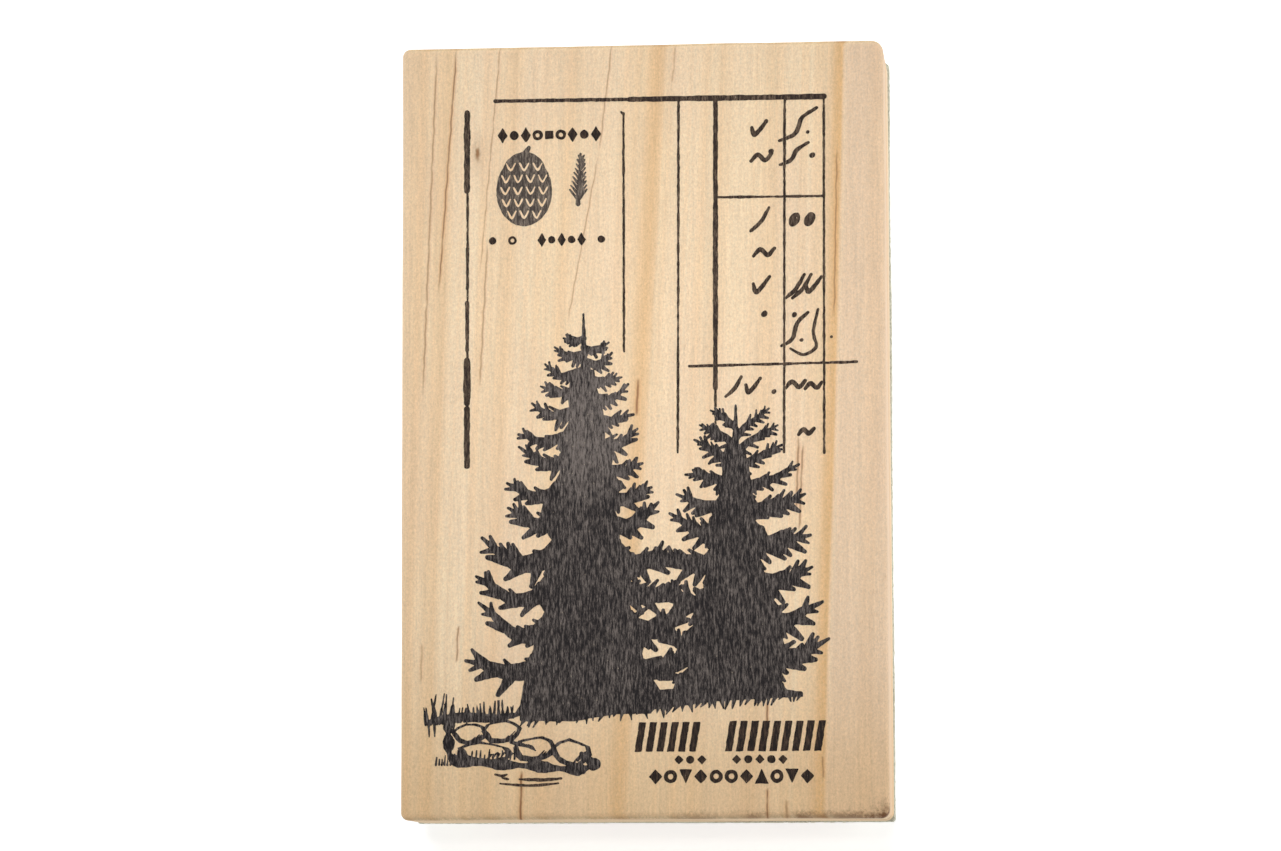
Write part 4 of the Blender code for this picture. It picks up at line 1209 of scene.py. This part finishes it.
PRINTS = (
    ("ink_spruces", ("print_spruces",), (draw_spruces, draw_ground, draw_grass, draw_stones), "trees"),
    ("ink_ledger", ("print_ledger",), (draw_ledger,), "rules"),
    ("ink_left_rule", ("print_left_rule",), (draw_left_rule,), "rules"),
    ("ink_centre_rule", ("print_centre_rule",), (draw_centre_rule,), "rules"),
    ("ink_cone", ("print_cone",), (draw_cone,), "emblem"),
    ("ink_sprig", ("print_sprig",), (draw_sprig,), "emblem"),
    ("ink_ripples", (), (draw_ripples,), "rules"),
    ("ink_ornaments", (), (draw_ornaments,), "caption"),
    ("ink_pen_marks", (), (draw_pen_marks,), "rules"),
)


def index_print():
    """The printed areas of ink on the block. Each keeps a hairline from those before it."""
    looks = {kind: printed_ink("ink_" + kind, *ink) for kind, ink in INKS.items()}
    low, high = heights("print_spruces")
    taken = Artwork(INK_STEP)
    made = []
    for name, nodes, draw, kind in PRINTS:
        art = drawn(INK_STEP, *draw)
        roughen(art, EDGE_NOISE_SIZE, EDGE_NOISE_DEPTH)
        own = Artwork(INK_STEP)
        own.field = np.minimum(art.field, -(taken.field + PRINT_GAP))
        piece = ink_piece(name, own, low, high, looks[kind])
        if nodes:
            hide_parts(*nodes)
        made.append(piece)
        taken.add(art)
    return made


def object_pieces():
    """The stamp's stack. Each piece replaces its CAD node, and the two adhesives keep theirs."""
    block = block_piece(pine())
    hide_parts("wood_block")
    cushion = cushion_piece(foam())
    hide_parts("foam_cushion")
    relief = drawn(RELIEF_STEP, *(draw for _, _, shapes, _ in PRINTS for draw in shapes))
    rubber = rubber_piece(relief, red_rubber())
    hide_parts("rubber_die")
    for piece in (block, cushion, rubber, *index_print()):
        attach(piece, "root")
    film = adhesive()
    for name in ("block_adhesive", "die_adhesive"):
        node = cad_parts[name]
        node.data.materials.clear()
        node.data.materials.append(film)


# Floor, light and camera, in metres

FLOOR_HALF = 12.0
FLOOR_TONES = ((0.93, 0.93, 0.92, 1.0), (0.95, 0.95, 0.95, 1.0))
FLOOR_GLOW = 0.53
WHITE = (1.0, 1.0, 1.0, 1.0)
# How bright the surroundings are at the horizon and overhead, and the heights between which they fade
HORIZON_LIGHT = 1.0
OVERHEAD_LIGHT = 0.35
FADE = (0.08, 0.30)
# Each lamp: its name, place, aim, power and size, and for a spot the width of its cone in degrees
LAMPS = (
    ("soft_box", (-0.10, 0.45, 0.80), (0.0, 0.0, 0.0), 2.9, 0.5, None),
    ("centre_light", (0.04, 0.05, 0.75), (0.0, 0.012, 0.024), 6.3, 0.05, 13),
    ("right_fill", (0.60, 0.05, 0.24), (0.0, 0.0, 0.0), 0.50, 0.3, None),
    ("hot_spot", (0.03, 0.03, 0.70), (0.003, -0.018, 0.024), 1.0, 0.03, 5),
)
# The camera's settings come from a fit to the outline of a block 112 mm long
CAMERA_PLACE = (0.05759, -0.07095, 0.68330)
CAMERA_AIM = (-0.00031, 0.00037, 0.02454)
CAMERA_ROLL = -0.003
CAMERA_LENS = 130.2


def floor():
    """A pale seamless table, bright enough to wash out under the light."""
    look = Look("seamless", 0.9, 0.1)
    look.finish(look.mixed(look.between(look.noise(0.004, detail=1.0), 0.3, 0.7), *FLOOR_TONES))
    look.shader.inputs["Emission Color"].default_value = WHITE
    look.shader.inputs["Emission Strength"].default_value = FLOOR_GLOW
    mesh = bpy.data.meshes.new("table")
    corners = [(sx * FLOOR_HALF, sy * FLOOR_HALF, 0.0) for sx, sy in ((-1, -1), (1, -1), (1, 1), (-1, 1))]
    mesh.from_pydata(corners, [], [(0, 1, 2, 3)])
    mesh.materials.append(look.material)
    made = linked("table", mesh)


def aimed(thing, place, aim, roll=0.0):
    """Puts an object at a place, looking at a point, with the frame's +Y upwards in its view."""
    ahead = (Vector(aim) - Vector(place)).normalized()
    right = ahead.cross(Vector((0.0, 1.0, 0.0))).normalized()
    up = right.cross(ahead)
    axes = Matrix((right, up, -ahead)).transposed() @ Matrix.Rotation(roll, 3, "Z")
    thing.matrix_world = Matrix.Translation(place) @ axes.to_4x4()


def lamp(name, place, aim, power, size, cone):
    """An area light, or a soft-edged spot where a cone is given."""
    data = bpy.data.lights.new(name, "SPOT" if cone else "AREA")
    data.energy = power
    if cone:
        data.shadow_soft_size = size
        data.spot_size = math.radians(cone)
        data.spot_blend = 1.0
    else:
        data.size = size
    aimed(linked(name, data), place, aim)


def surroundings():
    """Plain white all round: bright at the horizon, where it meets the table, and dimmer overhead."""
    world = bpy.data.worlds.new("studio")
    world.use_nodes = True
    tree = world.node_tree
    direction = tree.nodes.new("ShaderNodeTexCoord").outputs["Generated"]
    parts = tree.nodes.new("ShaderNodeSeparateXYZ")
    tree.links.new(direction, parts.inputs[0])
    fade = tree.nodes.new("ShaderNodeMapRange")
    fade.interpolation_type = "SMOOTHSTEP"
    tree.links.new(parts.outputs["Z"], fade.inputs["Value"])
    limits = (*FADE, HORIZON_LIGHT, OVERHEAD_LIGHT)
    for name, value in zip(("From Min", "From Max", "To Min", "To Max"), limits):
        fade.inputs[name].default_value = value
    background = tree.nodes["Background"]
    background.inputs["Color"].default_value = WHITE
    tree.links.new(fade.outputs[0], background.inputs["Strength"])
    bpy.context.scene.world = world


def studio():
    """A large soft box above, a fill from the right and two soft spots on the middle of the block."""
    for settings in LAMPS:
        lamp(*settings)


def camera():
    data = bpy.data.cameras.new("camera")
    data.lens = CAMERA_LENS
    data.sensor_width = 36.0
    data.clip_start = 0.01
    made = linked("camera", data)
    aimed(made, CAMERA_PLACE, CAMERA_AIM, CAMERA_ROLL)
    bpy.context.scene.camera = made


object_pieces()
floor()
surroundings()
studio()
camera()
bpy.context.scene.view_settings.view_transform = "Standard"
